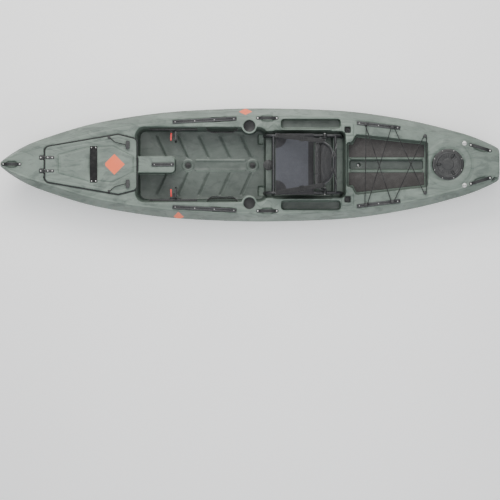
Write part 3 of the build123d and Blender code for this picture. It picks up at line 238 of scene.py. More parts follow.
def make_effects():
    """Every shared effect, each as one node group."""
    tree, take, give = effect(
        "moulded grain", [("Scale", "Float", 900.0)], [("Height", "Float"), ("Tone", "Float")])
    place = object_place(tree)
    fine = noise(tree, place, take["Scale"], 4.0, 0.6)
    drift = noise(tree, place, maths(tree, "MULTIPLY", take["Scale"], 0.018), 4.0, 0.55)
    feed(tree, fine, give["Height"])
    feed(tree, ramp(tree, drift, 0.3, 0.7), give["Tone"])

    tree, take, give = effect(
        "edge wear", [("Amount", "Float", 0.5), ("Scale", "Float", 60.0)], [("Mask", "Float")])
    point = node(tree, "ShaderNodeNewGeometry").outputs["Pointiness"]
    patchy = noise(tree, object_place(tree), take["Scale"], 5.0, 0.65)
    edge = ramp(tree, point, 0.515, 0.57)
    broken = maths(tree, "MULTIPLY", edge, ramp(tree, patchy, 0.38, 0.62))
    feed(tree, maths(tree, "MULTIPLY", broken, take["Amount"], clamp=True), give["Mask"])

    tree, take, give = effect("settled dust", [("Amount", "Float", 0.3)], [("Mask", "Float")])
    up = parts_of(tree, node(tree, "ShaderNodeNewGeometry").outputs["Normal"])[2]
    cloud = noise(tree, object_place(tree), 26.0, 6.0, 0.7)
    lying = maths(tree, "MULTIPLY", ramp(tree, up, 0.35, 0.95), ramp(tree, cloud, 0.42, 0.72))
    feed(tree, maths(tree, "MULTIPLY", lying, take["Amount"], clamp=True), give["Mask"])

    tree, take, give = effect(
        "fine scratches", [("Amount", "Float", 0.5), ("Scale", "Float", 30.0)], [("Mask", "Float")])
    place = object_place(tree)
    masks = []
    for turn, length in ((0.25, 0.06), (-0.5, 0.09), (1.3, 0.12)):
        drawn_out = stretched(tree, place, (length, 1.0, 0.6), turn)
        lane = noise(tree, drawn_out, maths(tree, "MULTIPLY", take["Scale"], 9.0), 2.0)
        where = noise(tree, place, take["Scale"], 2.0)
        masks.append(maths(tree, "MULTIPLY", ramp(tree, lane, 0.66, 0.74), ramp(tree, where, 0.5, 0.62)))
    both = maths(tree, "MAXIMUM", maths(tree, "MAXIMUM", masks[0], masks[1]), masks[2])
    feed(tree, maths(tree, "MULTIPLY", both, take["Amount"], clamp=True), give["Mask"])

    tree, take, give = effect(
        "woven threads", [("Pitch", "Float", 0.0016), ("Turn", "Float", 0.0)],
        [("Height", "Float"), ("Tone", "Float")])
    turned = node(tree, "ShaderNodeVectorRotate", rotation_type="Z_AXIS")
    feed(tree, cloth_place(tree), turned.inputs["Vector"])
    feed(tree, take["Turn"], turned.inputs["Angle"])
    across, along = parts_of(tree, turned.outputs[0])[:2]
    across = maths(tree, "DIVIDE", across, take["Pitch"])
    along = maths(tree, "DIVIDE", along, take["Pitch"])
    warp = maths(tree, "ABSOLUTE", maths(tree, "SINE", maths(tree, "MULTIPLY", across, math.pi)))
    weft = maths(tree, "ABSOLUTE", maths(tree, "SINE", maths(tree, "MULTIPLY", along, math.pi)))
    cells = maths(tree, "ADD", maths(tree, "FLOOR", across), maths(tree, "FLOOR", along))
    over = maths(tree, "FLOORED_MODULO", cells, 2.0)
    warp_high = maths(tree, "MULTIPLY", warp, maths(tree, "ADD", maths(tree, "MULTIPLY", weft, 0.4), 0.6))
    weft_high = maths(tree, "MULTIPLY", weft, maths(tree, "ADD", maths(tree, "MULTIPLY", warp, 0.4), 0.6))
    picked = node(tree, "ShaderNodeMix", data_type="FLOAT")
    feed(tree, over, picked.inputs[0])
    feed(tree, weft_high, picked.inputs[2])
    feed(tree, warp_high, picked.inputs[3])
    slub = noise(tree, stretched(tree, cloth_place(tree), (1.0, 9.0, 1.0)), 60.0, 3.0)
    feed(tree, picked.outputs[0], give["Height"])
    uneven = ramp(tree, slub, 0.3, 0.7, 0.55, 1.0)
    feed(tree, maths(tree, "MULTIPLY", picked.outputs[0], uneven), give["Tone"])

    tree, take, give = effect(
        "marbling",
        [("Pale", "Color", (1, 1, 1, 1)), ("Body", "Color", (0.5, 0.5, 0.5, 1)),
         ("Dark", "Color", (0, 0, 0, 1)), ("Scale", "Float", 3.0)],
        [("Color", "Color"), ("Streaks", "Float")])
    place = stretched(tree, object_place(tree), (0.45, 1.0, 1.0))
    cloud = noise(tree, place, take["Scale"], 5.0, 0.6, 1.4)
    swirl = noise(tree, place, maths(tree, "MULTIPLY", take["Scale"], 3.4), 6.0, 0.62, 2.2)
    streaks = ramp(tree, swirl, 0.47, 0.66)
    clouds = ramp(tree, cloud, 0.34, 0.66)
    shade = blend_colour(tree, maths(tree, "MULTIPLY", clouds, 0.75), take["Body"], take["Pale"])
    shade = blend_colour(tree, maths(tree, "MULTIPLY", streaks, 0.55), shade, take["Dark"])
    feed(tree, shade, give["Color"])
    feed(tree, streaks, give["Streaks"])

    # The floor grooves' lines as a mask, for shade painted into the grooves.
    tree, take, give = effect(
        "drain grooves",
        [("First", "Float", -0.716), ("Spacing", "Float", 0.161), ("Width", "Float", 0.006)],
        [("Mask", "Float")])
    x, y, z = parts_of(tree, object_place(tree))
    side = maths(tree, "ABSOLUTE", y)
    slant = maths(tree, "MULTIPLY", maths(tree, "SUBTRACT", groove_outer, side), groove_lean)
    travel = maths(tree, "SUBTRACT", maths(tree, "SUBTRACT", x, slant), take["First"])
    away = maths(tree, "PINGPONG", travel, maths(tree, "MULTIPLY", take["Spacing"], 0.5))
    line = ramp(tree, away, 0.0, take["Width"], 1.0, 0.0)
    ends = between(tree, side, (groove_inner, groove_inner + 0.01), (groove_outer - 0.01, groove_outer))
    first_and_last = between(tree, travel, (-0.02, -0.018), (0.662, 0.664))
    floor = between(tree, z, (0.104, 0.106), (0.132, 0.136))
    marked = maths(tree, "MULTIPLY", line, ends)
    mask = maths(tree, "MULTIPLY", marked, maths(tree, "MULTIPLY", floor, first_and_last))
    feed(tree, mask, give["Mask"])

    tree, take, give = effect("shaded wells", [("Amount", "Float", 0.5)], [("Mask", "Float")])
    x, y, z = parts_of(tree, object_place(tree))
    side = maths(tree, "ABSOLUTE", y)
    inside = maths(tree, "MULTIPLY", ramp(tree, side, 0.345, 0.35, 1.0, 0.0), ramp(tree, z, 0.10, 0.11))
    lengthwise = between(tree, x, (-0.86, -0.85), (1.33, 1.34))
    inside = maths(tree, "MULTIPLY", inside, lengthwise)
    facing = parts_of(tree, node(tree, "ShaderNodeNewGeometry").outputs["Normal"])
    outward = maths(tree, "MULTIPLY", facing[1], maths(tree, "SIGN", y))
    inward = ramp(tree, outward, 0.2, 0.4, 1.0, 0.0)
    inward_or_up = maths(tree, "MULTIPLY", inward, ramp(tree, facing[2], -0.3, -0.1))
    inside = maths(tree, "MULTIPLY", inside, inward_or_up)
    deep = ramp(tree, z, 0.15, 0.31, 0.75, 0.0)
    # The load well's channel and the two side trays get more painted shade than their height alone gives
    # them.
    channel_middle_x, tray_middle_x, tray_middle_y = 1.0315, 0.4595, 0.307
    from_middle = distance_from(tree, x, channel_middle_x)
    channel = maths(tree, "MULTIPLY", ramp(tree, from_middle, 0.275, 0.285, 1.0, 0.0),
                    ramp(tree, side, 0.034, 0.042, 1.0, 0.0))
    from_tray = distance_from(tree, x, tray_middle_x)
    tray = maths(tree, "MULTIPLY", ramp(tree, from_tray, 0.21, 0.224, 1.0, 0.0),
                 ramp(tree, distance_from(tree, side, tray_middle_y), 0.026, 0.034, 1.0, 0.0))
    for hollow, shade in ((channel, ramp(tree, z, 0.226, 0.236, 1.0, 0.0)),
                          (tray, ramp(tree, z, 0.26, 0.31, 0.8, 0.0))):
        deep = maths(tree, "MAXIMUM", deep, maths(tree, "MULTIPLY", hollow, shade))
    shaded = maths(tree, "MULTIPLY", inside, deep)
    feed(tree, maths(tree, "MULTIPLY", shaded, take["Amount"], clamp=True), give["Mask"])

    tree, take, give = effect(
        "plain lozenge",
        [("Centre", "Vector", (0, 0, 0)), ("Half length", "Float", 0.05), ("Half width", "Float", 0.05)],
        [("Mask", "Float")])
    gap = node(tree, "ShaderNodeVectorMath", operation="SUBTRACT")
    feed(tree, object_place(tree), gap.inputs[0])
    feed(tree, take["Centre"], gap.inputs[1])
    x, y, z = parts_of(tree, gap.outputs[0])
    rise = maths(tree, "MAXIMUM", maths(tree, "ABSOLUTE", y), maths(tree, "ABSOLUTE", z))
    total = maths(
        tree, "ADD", maths(tree, "DIVIDE", maths(tree, "ABSOLUTE", x), take["Half length"]),
        maths(tree, "DIVIDE", rise, take["Half width"]))
    feed(tree, ramp(tree, total, 0.98, 1.02, 1.0, 0.0), give["Mask"])


# ---------------------------------------------------------------- materials


def new_finish(name):
    made = bpy.data.materials.new(name)
    made.use_nodes = True
    tree = made.node_tree
    shader = tree.nodes["Principled BSDF"]
    return made, tree, shader


def bump(tree, shader, height, distance, strength=1.0, under=None):
    made = node(tree, "ShaderNodeBump")
    made.inputs["Strength"].default_value = strength
    made.inputs["Distance"].default_value = distance
    feed(tree, height, made.inputs["Height"])
    if under is not None:
        feed(tree, under, made.inputs["Normal"])
    feed(tree, made.outputs[0], shader.inputs["Normal"])
    return made.outputs[0]


def opaque(colour):
    return (*colour, 1.0)


def shade_of(colour, share):
    return tuple(channel * share for channel in colour) + (1.0,)


dust_colour = (0.3, 0.3, 0.28, 1.0)


def moulded(name, colour, roughness, grain=900.0, depth=0.00012, worn=0.25, dust=0.06, metallic=0.0):
    """A moulded, cast or drawn hard finish with drift, scratches, wear and a little dust."""
    made, tree, shader = new_finish(name)
    grains = use(tree, "moulded grain", Scale=grain)
    wear = use(tree, "edge wear", Amount=worn, Scale=120.0)["Mask"]
    dusty = use(tree, "settled dust", Amount=dust)["Mask"]
    marks = use(tree, "fine scratches", Amount=0.6, Scale=28.0)["Mask"]
    base = blend_colour(tree, grains["Tone"], shade_of(colour, 0.78), shade_of(colour, 1.2))
    base = blend_colour(tree, wear, base, tuple(0.7 * channel + 0.06 for channel in colour) + (1.0,))
    base = blend_colour(tree, maths(tree, "MULTIPLY", marks, 0.25), base, shade_of(colour, 1.9))
    base = blend_colour(tree, dusty, base, dust_colour)
    feed(tree, base, shader.inputs["Base Color"])
    rough = ramp(tree, grains["Tone"], 0.0, 1.0, roughness - 0.06, roughness + 0.08)
    rough = maths(tree, "ADD", rough, maths(tree, "MULTIPLY", marks, 0.16), clamp=True)
    feed(tree, rough, shader.inputs["Roughness"])
    shader.inputs["Metallic"].default_value = metallic
    cut = maths(tree, "MULTIPLY", marks, 0.5)
    bump(tree, shader, maths(tree, "SUBTRACT", grains["Height"], cut), depth)
    return made


def woven(name, colour, pitch, roughness=0.85, sheen=0.25, turn=0.0, depth=0.00045, pale=1.7):
    """A woven fabric or webbing, by the place on the cloth."""
    made, tree, shader = new_finish(name)
    threads = use(tree, "woven threads", Pitch=pitch, Turn=turn)
    dusty = use(tree, "settled dust", Amount=0.05)["Mask"]
    drift = use(tree, "moulded grain", Scale=420.0)["Tone"]
    base = blend_colour(tree, threads["Tone"], shade_of(colour, 0.45), shade_of(colour, pale))
    base = blend_colour(tree, maths(tree, "MULTIPLY", drift, 0.35), base, shade_of(colour, 0.7))
    base = blend_colour(tree, dusty, base, dust_colour)
    feed(tree, base, shader.inputs["Base Color"])
    rough = ramp(tree, threads["Tone"], 0.0, 1.0, roughness + 0.1, roughness - 0.08)
    feed(tree, rough, shader.inputs["Roughness"])
    shader.inputs["Sheen Weight"].default_value = sheen
    shader.inputs["Sheen Roughness"].default_value = 0.45
    bump(tree, shader, threads["Height"], depth)
    return made


def marbled(name, patches):
    """Rotomoulded polyethylene: swirls, orange-peel skin, scuffed edges, plain patches, and painted shade
    in the wells and along the floor grooves.
    """
    colours = bpy.context.scene.kayak_colours
    made, tree, shader = new_finish(name)
    marbling = use(
        tree, "marbling", Pale=opaque(colours.pale_plastic), Body=opaque(colours.body_plastic),
        Dark=opaque(colours.dark_plastic), Scale=3.2)
    grains = use(tree, "moulded grain", Scale=520.0)
    wear = use(tree, "edge wear", Amount=0.45, Scale=40.0)["Mask"]
    dusty = use(tree, "settled dust", Amount=0.05)["Mask"]
    marks = use(tree, "fine scratches", Amount=0.7, Scale=9.0)["Mask"]
    wells = use(tree, "shaded wells", Amount=0.9)["Mask"]
    grooves = use(tree, "drain grooves", First=groove_first, Spacing=groove_spacing, Width=0.0075)["Mask"]
    drift = maths(tree, "MULTIPLY", grains["Tone"], 0.16)
    base = marbling["Color"]
    # The drift, worn edges and scratches are the plastic's own colour; the wells and the floor grooves get
    # painted shade.
    for share, colour in ((drift, opaque(colours.dark_plastic)),
                          (wear, shade_of(colours.pale_plastic, 1.3)),
                          (maths(tree, "MULTIPLY", marks, 0.3), shade_of(colours.pale_plastic, 1.2)),
                          # painted shade in the wells, deeper the lower the surface
                          (wells, shade_of(colours.dark_plastic, 0.5)),
                          # painted shade along the floor grooves
                          (maths(tree, "MULTIPLY", grooves, 0.75), shade_of(colours.dark_plastic, 0.4))):
        base = blend_colour(tree, share, base, colour)
    for centre, half_length, half_width in patches:
        patch = use(
            tree, "plain lozenge", Centre=centre, Half_length=half_length, Half_width=half_width)
        base = blend_colour(tree, patch["Mask"], base, opaque(colours.accent))
    base = blend_colour(tree, dusty, base, dust_colour)
    feed(tree, base, shader.inputs["Base Color"])
    rough = ramp(tree, grains["Tone"], 0.0, 1.0, 0.4, 0.52)
    rough = maths(tree, "ADD", rough, maths(tree, "MULTIPLY", marks, 0.2))
    feed(tree, rough, shader.inputs["Roughness"])
    shader.inputs["Specular IOR Level"].default_value = 0.42
    skin = maths(tree, "ADD", grains["Height"], maths(tree, "MULTIPLY", marbling["Streaks"], 0.5))
    bump(tree, shader, maths(tree, "SUBTRACT", skin, maths(tree, "MULTIPLY", marks, 0.7)), 0.00035)
    return made


def foam_mat(name):
    """Brushed closed-cell foam mat with fine pores."""
    made, tree, shader = new_finish(name)
    place = object_place(tree)
    pores = node(tree, "ShaderNodeTexVoronoi")
    feed(tree, place, pores.inputs["Vector"])
    pores.inputs["Scale"].default_value = 900.0
    drift = use(tree, "moulded grain", Scale=700.0)
    dusty = use(tree, "settled dust", Amount=0.08)["Mask"]
    colour = (0.042, 0.039, 0.038)
    open_pores = ramp(tree, pores.outputs["Distance"], 0.1, 0.6)
    base = blend_colour(tree, open_pores, shade_of(colour, 0.6), shade_of(colour, 1.35))
    base = blend_colour(tree, maths(tree, "MULTIPLY", drift["Tone"], 0.4), base, shade_of(colour, 1.6))
    feed(tree, blend_colour(tree, dusty, base, dust_colour), shader.inputs["Base Color"])
    feed(tree, ramp(tree, drift["Tone"], 0.0, 1.0, 0.82, 0.95), shader.inputs["Roughness"])
    bump(tree, shader, pores.outputs["Distance"], 0.0006)
    return made


def netting(name):
    """An open knotted net: dark cords with gaps that are seen through."""
    made, tree, shader = new_finish(name)
    place = stretched(tree, cloth_place(tree), (1.0, 1.0, 1.0), math.radians(45))
    across, along = parts_of(tree, place)[:2]
    opening = 0.0062
    cords = []
    for line in (across, along):
        wave = maths(tree, "PINGPONG", line, opening / 2)
        cords.append(ramp(tree, wave, 0.0008, 0.0012, 1.0, 0.0))
    cord_mask = maths(tree, "MAXIMUM", cords[0], cords[1])
    tone = use(tree, "moulded grain", Scale=1500.0)
    colour = (0.022, 0.022, 0.024)
    base = blend_colour(tree, tone["Tone"], opaque(colour), shade_of(colour, 2.2))
    feed(tree, base, shader.inputs["Base Color"])
    feed(tree, ramp(tree, tone["Tone"], 0.0, 1.0, 0.6, 0.8), shader.inputs["Roughness"])
    feed(tree, cord_mask, shader.inputs["Alpha"])
    bump(tree, shader, cord_mask, 0.0008)
    return made


def sling_finish(name):
    """Grey woven seat fabric with dark open mesh in its front corners and dark hems."""
    colours = bpy.context.scene.kayak_colours
    fabric = tuple(colours.sling_fabric)
    made, tree, shader = new_finish(name)
    threads = use(tree, "woven threads", Pitch=0.0021, Turn=0.0)
    drift = use(tree, "moulded grain", Scale=300.0)["Tone"]
    dusty = use(tree, "settled dust", Amount=0.03)["Mask"]
    base = blend_colour(tree, threads["Tone"], shade_of(fabric, 0.55), shade_of(fabric, 1.5))
    base = blend_colour(tree, maths(tree, "MULTIPLY", drift, 0.3), base, shade_of(fabric, 1.35))
    x, y = parts_of(tree, object_place(tree))[:2]
    side = maths(tree, "ABSOLUTE", y)
    front, edge = 0.192, 0.204
    reach_x = maths(tree, "POWER", maths(tree, "SUBTRACT", x, front), 2.0)
    reach_y = maths(tree, "POWER", maths(tree, "SUBTRACT", side, edge), 2.0)
    reach = maths(tree, "SQRT", maths(tree, "ADD", reach_x, reach_y))
    corner = ramp(tree, reach, 0.082, 0.085, 1.0, 0.0)
    hem = ramp(tree, side, 0.187, 0.189)
    rear = ramp(tree, x, 0.436, 0.438)
    trim = maths(tree, "MAXIMUM", maths(tree, "MAXIMUM", corner, hem), rear)
    dark = blend_colour(tree, threads["Tone"], (0.006, 0.006, 0.007, 1), (0.035, 0.035, 0.04, 1))
    base = blend_colour(tree, trim, base, dark)
    feed(tree, blend_colour(tree, dusty, base, dust_colour), shader.inputs["Base Color"])
    feed(tree, ramp(tree, threads["Tone"], 0.0, 1.0, 0.9, 0.66), shader.inputs["Roughness"])
    shader.inputs["Sheen Weight"].default_value = 0.3
    shader.inputs["Sheen Roughness"].default_value = 0.4
    bump(tree, shader, threads["Height"], 0.0005)
    return made


def braided(name, colour, fleck):
    """Elastic cord in a braided cover with a pale fleck."""
    made, tree, shader = new_finish(name)
    braid = use(tree, "woven threads", Pitch=0.0011, Turn=math.radians(45))
    drift = use(tree, "moulded grain", Scale=900.0)
    base = blend_colour(tree, braid["Tone"], shade_of(colour, 0.5), shade_of(colour, 1.8))
    base = blend_colour(tree, maths(tree, "MULTIPLY", drift["Tone"], 0.15), base, opaque(fleck))
    feed(tree, base, shader.inputs["Base Color"])
    feed(tree, ramp(tree, braid["Tone"], 0.0, 1.0, 0.85, 0.65), shader.inputs["Roughness"])
    bump(tree, shader, braid["Height"], 0.0004)
    return made


finishes = {}


def make_finishes():
    """One finish for each material slot of the record, and the few that belong to single pieces."""
    hull_patches = [((-0.54, -0.405, 0.27), 0.052, 0.05), ((-0.034, 0.405, 0.27), 0.052, 0.05)]
    finishes["marbled_polyethylene"] = marbled("marbled_polyethylene", hull_patches)
    finishes["marbled_lid"] = marbled("marbled_lid", [((-1.02, 0.0, 0.36), 0.078, 0.078)])
    hard_finishes = (
        ("closed_foam", (0.6, 0.6, 0.57), 0.85, 300.0, 0.0006, {"worn": 0.0}),
        ("seal_rubber", (0.018, 0.018, 0.019), 0.7, 700.0, 0.0002, {}),
        ("handle_rubber", (0.016, 0.017, 0.018), 0.62, 800.0, 0.0003, {}),
        ("black_nylon", (0.013, 0.014, 0.0145), 0.46, 1100.0, 0.00012, {}),
        ("red_nylon", (0.62, 0.022, 0.02), 0.42, 1000.0, 0.0001, {}),
        ("stainless", (0.4, 0.4, 0.39), 0.34, 1600.0, 0.00003,
         {"worn": 0.2, "dust": 0.05, "metallic": 1.0}),
        ("black_aluminium", (0.02, 0.021, 0.023), 0.42, 1800.0, 0.00004,
         {"worn": 0.4, "metallic": 0.2}),
    )
    for name, colour, roughness, grain, depth, others in hard_finishes:
        finishes[name] = moulded(name, colour, roughness, grain, depth, **others)
    finishes["bungee_cover"] = braided("bungee_cover", (0.016, 0.016, 0.017), (0.2, 0.2, 0.2))
    finishes["grey_foam_mat"] = foam_mat("grey_foam_mat")
    finishes["pocket_mesh"] = netting("pocket_mesh")
    finishes["black_webbing"] = woven("black_webbing", (0.014, 0.014, 0.015), 0.0017)
    finishes["grey_sling"] = sling_finish("grey_sling")
    finishes["back_fabric"] = woven("back_fabric", (0.014, 0.0145, 0.016), 0.0024, sheen=0.12)


# ---------------------------------------------------------------- mesh helpers


def through_modifiers(mesh, *steps):
    """The mesh after the given modifiers, each a kind and its settings."""
    carrier = bpy.data.objects.new("carrier", mesh)
    bpy.context.scene.collection.objects.link(carrier)
    for kind, settings in steps:
        step = carrier.modifiers.new(kind.lower(), kind)
        for key, value in settings.items():
            setattr(step, key, value)
    graph = bpy.context.evaluated_depsgraph_get()
    result = bpy.data.meshes.new_from_object(carrier.evaluated_get(graph))
    bpy.data.objects.remove(carrier)
    return result


def welded(name, dissolve=True):
    """The solid shape of a node as a welded mesh of its own."""
    shape = bmesh.new()
    shape.from_mesh(frame["nodes"][name].data)
    bmesh.ops.remove_doubles(shape, verts=shape.verts[:], dist=weld_distance)
    if dissolve:
        bmesh.ops.dissolve_limit(shape, angle_limit=flat_angle, verts=shape.verts[:], edges=shape.edges[:])
    shape.verts.index_update()
    points = [corner.co[:] for corner in shape.verts]
    faces = [[corner.index for corner in face.verts] for face in shape.faces]
    shape.free()
    mesh = bpy.data.meshes.new(name)
    mesh.from_pydata(points, [], faces)
    mesh.update()
    return mesh


def places_of(mesh):
    """Every vertex and its normal, as arrays."""
    count = len(mesh.vertices)
    places, normals = np.zeros(count * 3), np.zeros(count * 3)
    mesh.vertices.foreach_get("co", places)
    mesh.vertex_normals.foreach_get("vector", normals)
    return places.reshape(-1, 3), normals.reshape(-1, 3)


def put_places(mesh, places):
    mesh.vertices.foreach_set("co", places.astype(np.float32).ravel())
    mesh.update()


def new_piece(name, mesh, bodies, slot, finish=None, replaced=()):
    """A finished mesh as a piece that moves with its body; given several bodies, it stays where it is made
    and moves with none.
    """
    piece = bpy.data.objects.new(name, mesh)
    bpy.context.scene.collection.objects.link(piece)
    mesh.materials.clear()
    mesh.materials.append(finishes[finish or slot])
    if isinstance(bodies, str):
        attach(piece, bodies)
    else:
        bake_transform(piece)
    if replaced:
        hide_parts(*replaced)
    return piece


def quads(name, points, places=None, around=False, closed_ends=False):
    """A mesh of quads through rows of points, with each point's place on the cloth in metres."""
    rows, columns = points.shape[:2]
    faces = []
    for row in range(rows - 1):
        for column in range(columns if around else columns - 1):
            onward = (column + 1) % columns
            faces.append((row * columns + column, row * columns + onward,
                          (row + 1) * columns + onward, (row + 1) * columns + column))
    if closed_ends:
        faces.append(tuple(range(columns))[::-1])
        faces.append(tuple((rows - 1) * columns + column for column in range(columns)))
    mesh = bpy.data.meshes.new(name)
    mesh.from_pydata(points.reshape(-1, 3).tolist(), [], faces)
    if places is not None:
        layer = mesh.uv_layers.new(name="cloth")
        corner = np.zeros(len(mesh.loops), np.int32)
        mesh.loops.foreach_get("vertex_index", corner)
        layer.data.foreach_set("uv", places.reshape(-1, 2)[corner].astype(np.float32).ravel())
    mesh.update()
    for face in mesh.polygons:
        face.use_smooth = True
    return mesh


def along_path(path):
    """Lengths along a path, and at each point its direction and two sides square to it."""
    steps = np.linalg.norm(np.diff(path, axis=0), axis=1)
    lengths = np.concatenate([[0], np.cumsum(steps)])
    ahead = np.gradient(path, axis=0)
    ahead /= np.linalg.norm(ahead, axis=1)[:, None]
    side = np.cross(ahead[0], (0, 0, 1) if abs(ahead[0][2]) < 0.9 else (1, 0, 0))
    sides = []
    for direction in ahead:
        side = side - direction * (side @ direction)
        side /= np.linalg.norm(side)
        sides.append(side)
    sides = np.array(sides)
    return lengths, ahead, sides, np.cross(ahead, sides)


def rod(name, path, radius, around=12):
    """A closed round cord or tube along a path."""
    path = np.asarray(path, float)
    lengths, _, first, second = along_path(path)
    turn = np.linspace(0, 2 * math.pi, around, endpoint=False)
    ring = first[:, None] * np.cos(turn)[None, :, None] + second[:, None] * np.sin(turn)[None, :, None]
    points = path[:, None] + ring * radius
    places = np.stack(np.broadcast_arrays(lengths[:, None], (turn * radius)[None, :]), axis=-1)
    return quads(name, points, places, around=True, closed_ends=True)


def ribbon(name, path, across, width, thickness):
    """A flat strap along a path. across is its direction of width at each point."""
    path, across = np.asarray(path, float), np.asarray(across, float)
    lengths = along_path(path)[0]
    ahead = np.gradient(path, axis=0)
    face = np.cross(ahead, across)
    face /= np.linalg.norm(face, axis=1)[:, None]
    half = width / 2
    profile = [(-half, 0.5), (-half * 0.5, 0.56), (0, 0.56), (half * 0.5, 0.56), (half, 0.5),
               (half, -0.5), (half * 0.5, -0.56), (0, -0.56), (-half * 0.5, -0.56), (-half, -0.5)]
    points = np.stack([path + across * u + face * (v * thickness) for u, v in profile], axis=1)
    places = np.stack([np.stack([lengths, np.full(len(path), u)], axis=-1) for u, v in profile], axis=1)
    return quads(name, points, places, around=True, closed_ends=True)


def joined(name, *meshes):
    """Several meshes as one. Each keeps its places on the cloth."""
    shape = bmesh.new()
    for mesh in meshes:
        shape.from_mesh(mesh)
    result = bpy.data.meshes.new(name)
    shape.to_mesh(result)
    shape.free()
    return result


def soft_edges(mesh, width, segments=2):
    """The mesh with every sharp edge rounded off."""
    result = through_modifiers(mesh, ("BEVEL", {
        "width": width, "segments": segments, "limit_method": "ANGLE", "angle_limit": math.radians(38),
        "harden_normals": False, "use_clamp_overlap": True}))
    result.shade_smooth()
    result.set_sharp_from_angle(angle=crease_angle)
    return result


def soft_skin(name, voxel, smoothings, factor=0.5, thicker=0.0):
    """A moulded skin: the solid's own shape with every edge flowing into the next."""
    solid = welded(name, dissolve=False)
    if thicker:
        thicken_inside(solid, thicker)
    return through_modifiers(
        solid,
        ("REMESH", {"mode": "VOXEL", "voxel_size": voxel, "use_smooth_shade": True}),
        ("SMOOTH", {"factor": factor, "iterations": smoothings}))


def thicken_inside(mesh, extra):
    """The inner face of a hollow moulding moved inwards, where it sees neither sky nor a near wall."""
    places, normals = places_of(mesh)
    walls = BVHTree.FromPolygons(places.tolist(), [tuple(face.vertices) for face in mesh.polygons])
    count = 32
    rise = 1 - (2 * np.arange(count) + 1) / count
    turn = np.arange(count) * math.pi * (3 - math.sqrt(5))
    flat = np.sqrt(1 - rise**2)
    looks = np.stack([flat * np.cos(turn), flat * np.sin(turn), rise], axis=1)
    sky_share, near_wall, start_gap = 0.12, 0.05, 0.0008
    for index, (place, normal) in enumerate(zip(places.copy(), normals)):
        ahead = looks[looks @ normal > 0.1]
        start = Vector(place + normal * start_gap)
        reaches = [walls.ray_cast(start, Vector(look))[3] for look in ahead]
        seen = [reach for reach in reaches if reach is not None]
        if len(seen) > (1 - sky_share) * len(reaches) and sum(seen) > near_wall * len(seen):
            places[index] += normal * extra
    put_places(mesh, places)


def smooth_line(shares, values):
    """A natural cubic curve through the stations' values, as a function of x in metres."""
    spots = (shares - 0.5) * hull_length
    gaps = np.diff(spots)
    slopes = np.diff(values) / gaps
    count = len(spots)
    system, right = np.eye(count), np.zeros(count)
    for i in range(1, count - 1):
        system[i, i - 1:i + 2] = gaps[i - 1], 2 * (gaps[i - 1] + gaps[i]), gaps[i]
        right[i] = 6 * (slopes[i] - slopes[i - 1])
    bend = np.linalg.solve(system, right)

    def at(x):
        i = np.clip(np.searchsorted(spots, x) - 1, 0, count - 2)
        gap, ahead, back = gaps[i], spots[i + 1] - x, x - spots[i]
        curved = (bend[i] * ahead**3 + bend[i + 1] * back**3) / (6 * gap)
        return curved + (values[i] / gap - bend[i] * gap / 6) * ahead + (
            values[i + 1] / gap - bend[i + 1] * gap / 6) * back

    return at


deck_height = smooth_line(stations[:, 0], stations[:, 2])
half_breadth = smooth_line(stations[:, 0], stations[:, 1] * half_beam)


def hump(distance, width):
    """1 in the middle of a line or ring, falling smoothly to 0 past its width."""
    return np.exp(-((distance / width) ** 2))


def step(value, low, high):
    """0 below low, 1 above high, smooth between them."""
    share = np.clip((value - low) / (high - low), 0, 1)
    return share * share * (3 - 2 * share)


# ---------------------------------------------------------------- moulded hull and lid


def cockpit_detail(x, y, groove_depth):
    """Heights on the cockpit floor: slanting drain grooves, a middle rib and rings round the scuppers."""
    side = np.abs(y)
    height = np.zeros_like(x)
    ends = (groove_inner, groove_inner + 0.012), (groove_outer - 0.012, groove_outer)
    reach = step(side, *ends[0]) * (1 - step(side, *ends[1]))
    for count in range(5):
        line = groove_first + groove_spacing * count + (groove_outer - side) * groove_lean
        away = (x - line) / math.hypot(1, groove_lean)
        height -= groove_depth * hump(away, 0.0065) * reach
        height += 0.0022 * hump(away - 0.016, 0.008) * reach
    along = step(x, -0.425, -0.405) * (1 - step(x, -0.045, -0.025))
    height += 0.006 * hump(side - 0.036, 0.007) * along
    for centre in (-0.471, 0.019):
        reach = np.hypot(x - centre, y)
        height += 0.005 * (step(reach, 0.024, 0.030) - step(reach, 0.042, 0.050))
    return height


def deck_detail(x, y):
    """Heights on the deck: a gunwale line, the ring round the stern hatch, socket bosses and creases."""
    side = np.abs(y)
    half = half_breadth(x)
    edge = half - 0.058 * np.minimum(1, half / 0.2) - side
    height = -0.0022 * hump(edge - 0.014, 0.0055)
    reach = np.hypot(x - 1.491, y)
    height += 0.005 * (step(reach, 0.124, 0.134) - step(reach, 0.168, 0.180))
    height -= 0.0025 * hump(reach - 0.196, 0.006) * step(x, 1.36, 1.42)
    boss = np.maximum(np.abs(x - 0.735), np.abs(side - 0.262))
    height += 0.0035 * (1 - step(boss, 0.040, 0.047)) - 0.003 * hump(boss - 0.051, 0.005)
    bow_line = np.abs(side - (0.040 + (x + 1.86) * 0.32))
    height += 0.0028 * hump(bow_line, 0.008) * step(x, -1.84, -1.78) * (1 - step(x, -1.60, -1.56))
    brace = np.abs(side - (0.315 - np.abs(np.abs(x - 0.130) - 0.050) * 0.9))
    near_handle = (1 - step(np.abs(x - 0.130), 0.085, 0.100)) * step(side, 0.262, 0.275)
    height += 0.0035 * hump(brace, 0.008) * near_handle
    rail = edge - 0.036
    height += 0.0015 * hump(rail, 0.012) * step(x, -1.5, -1.4) * (1 - step(x, 1.3, 1.4))
    stern_crease = np.abs(side - (0.060 + (1.86 - x) * 0.10))
    height -= 0.002 * hump(stern_crease, 0.006) * step(x, 1.70, 1.72) * (1 - step(x, 1.83, 1.85))
    return height


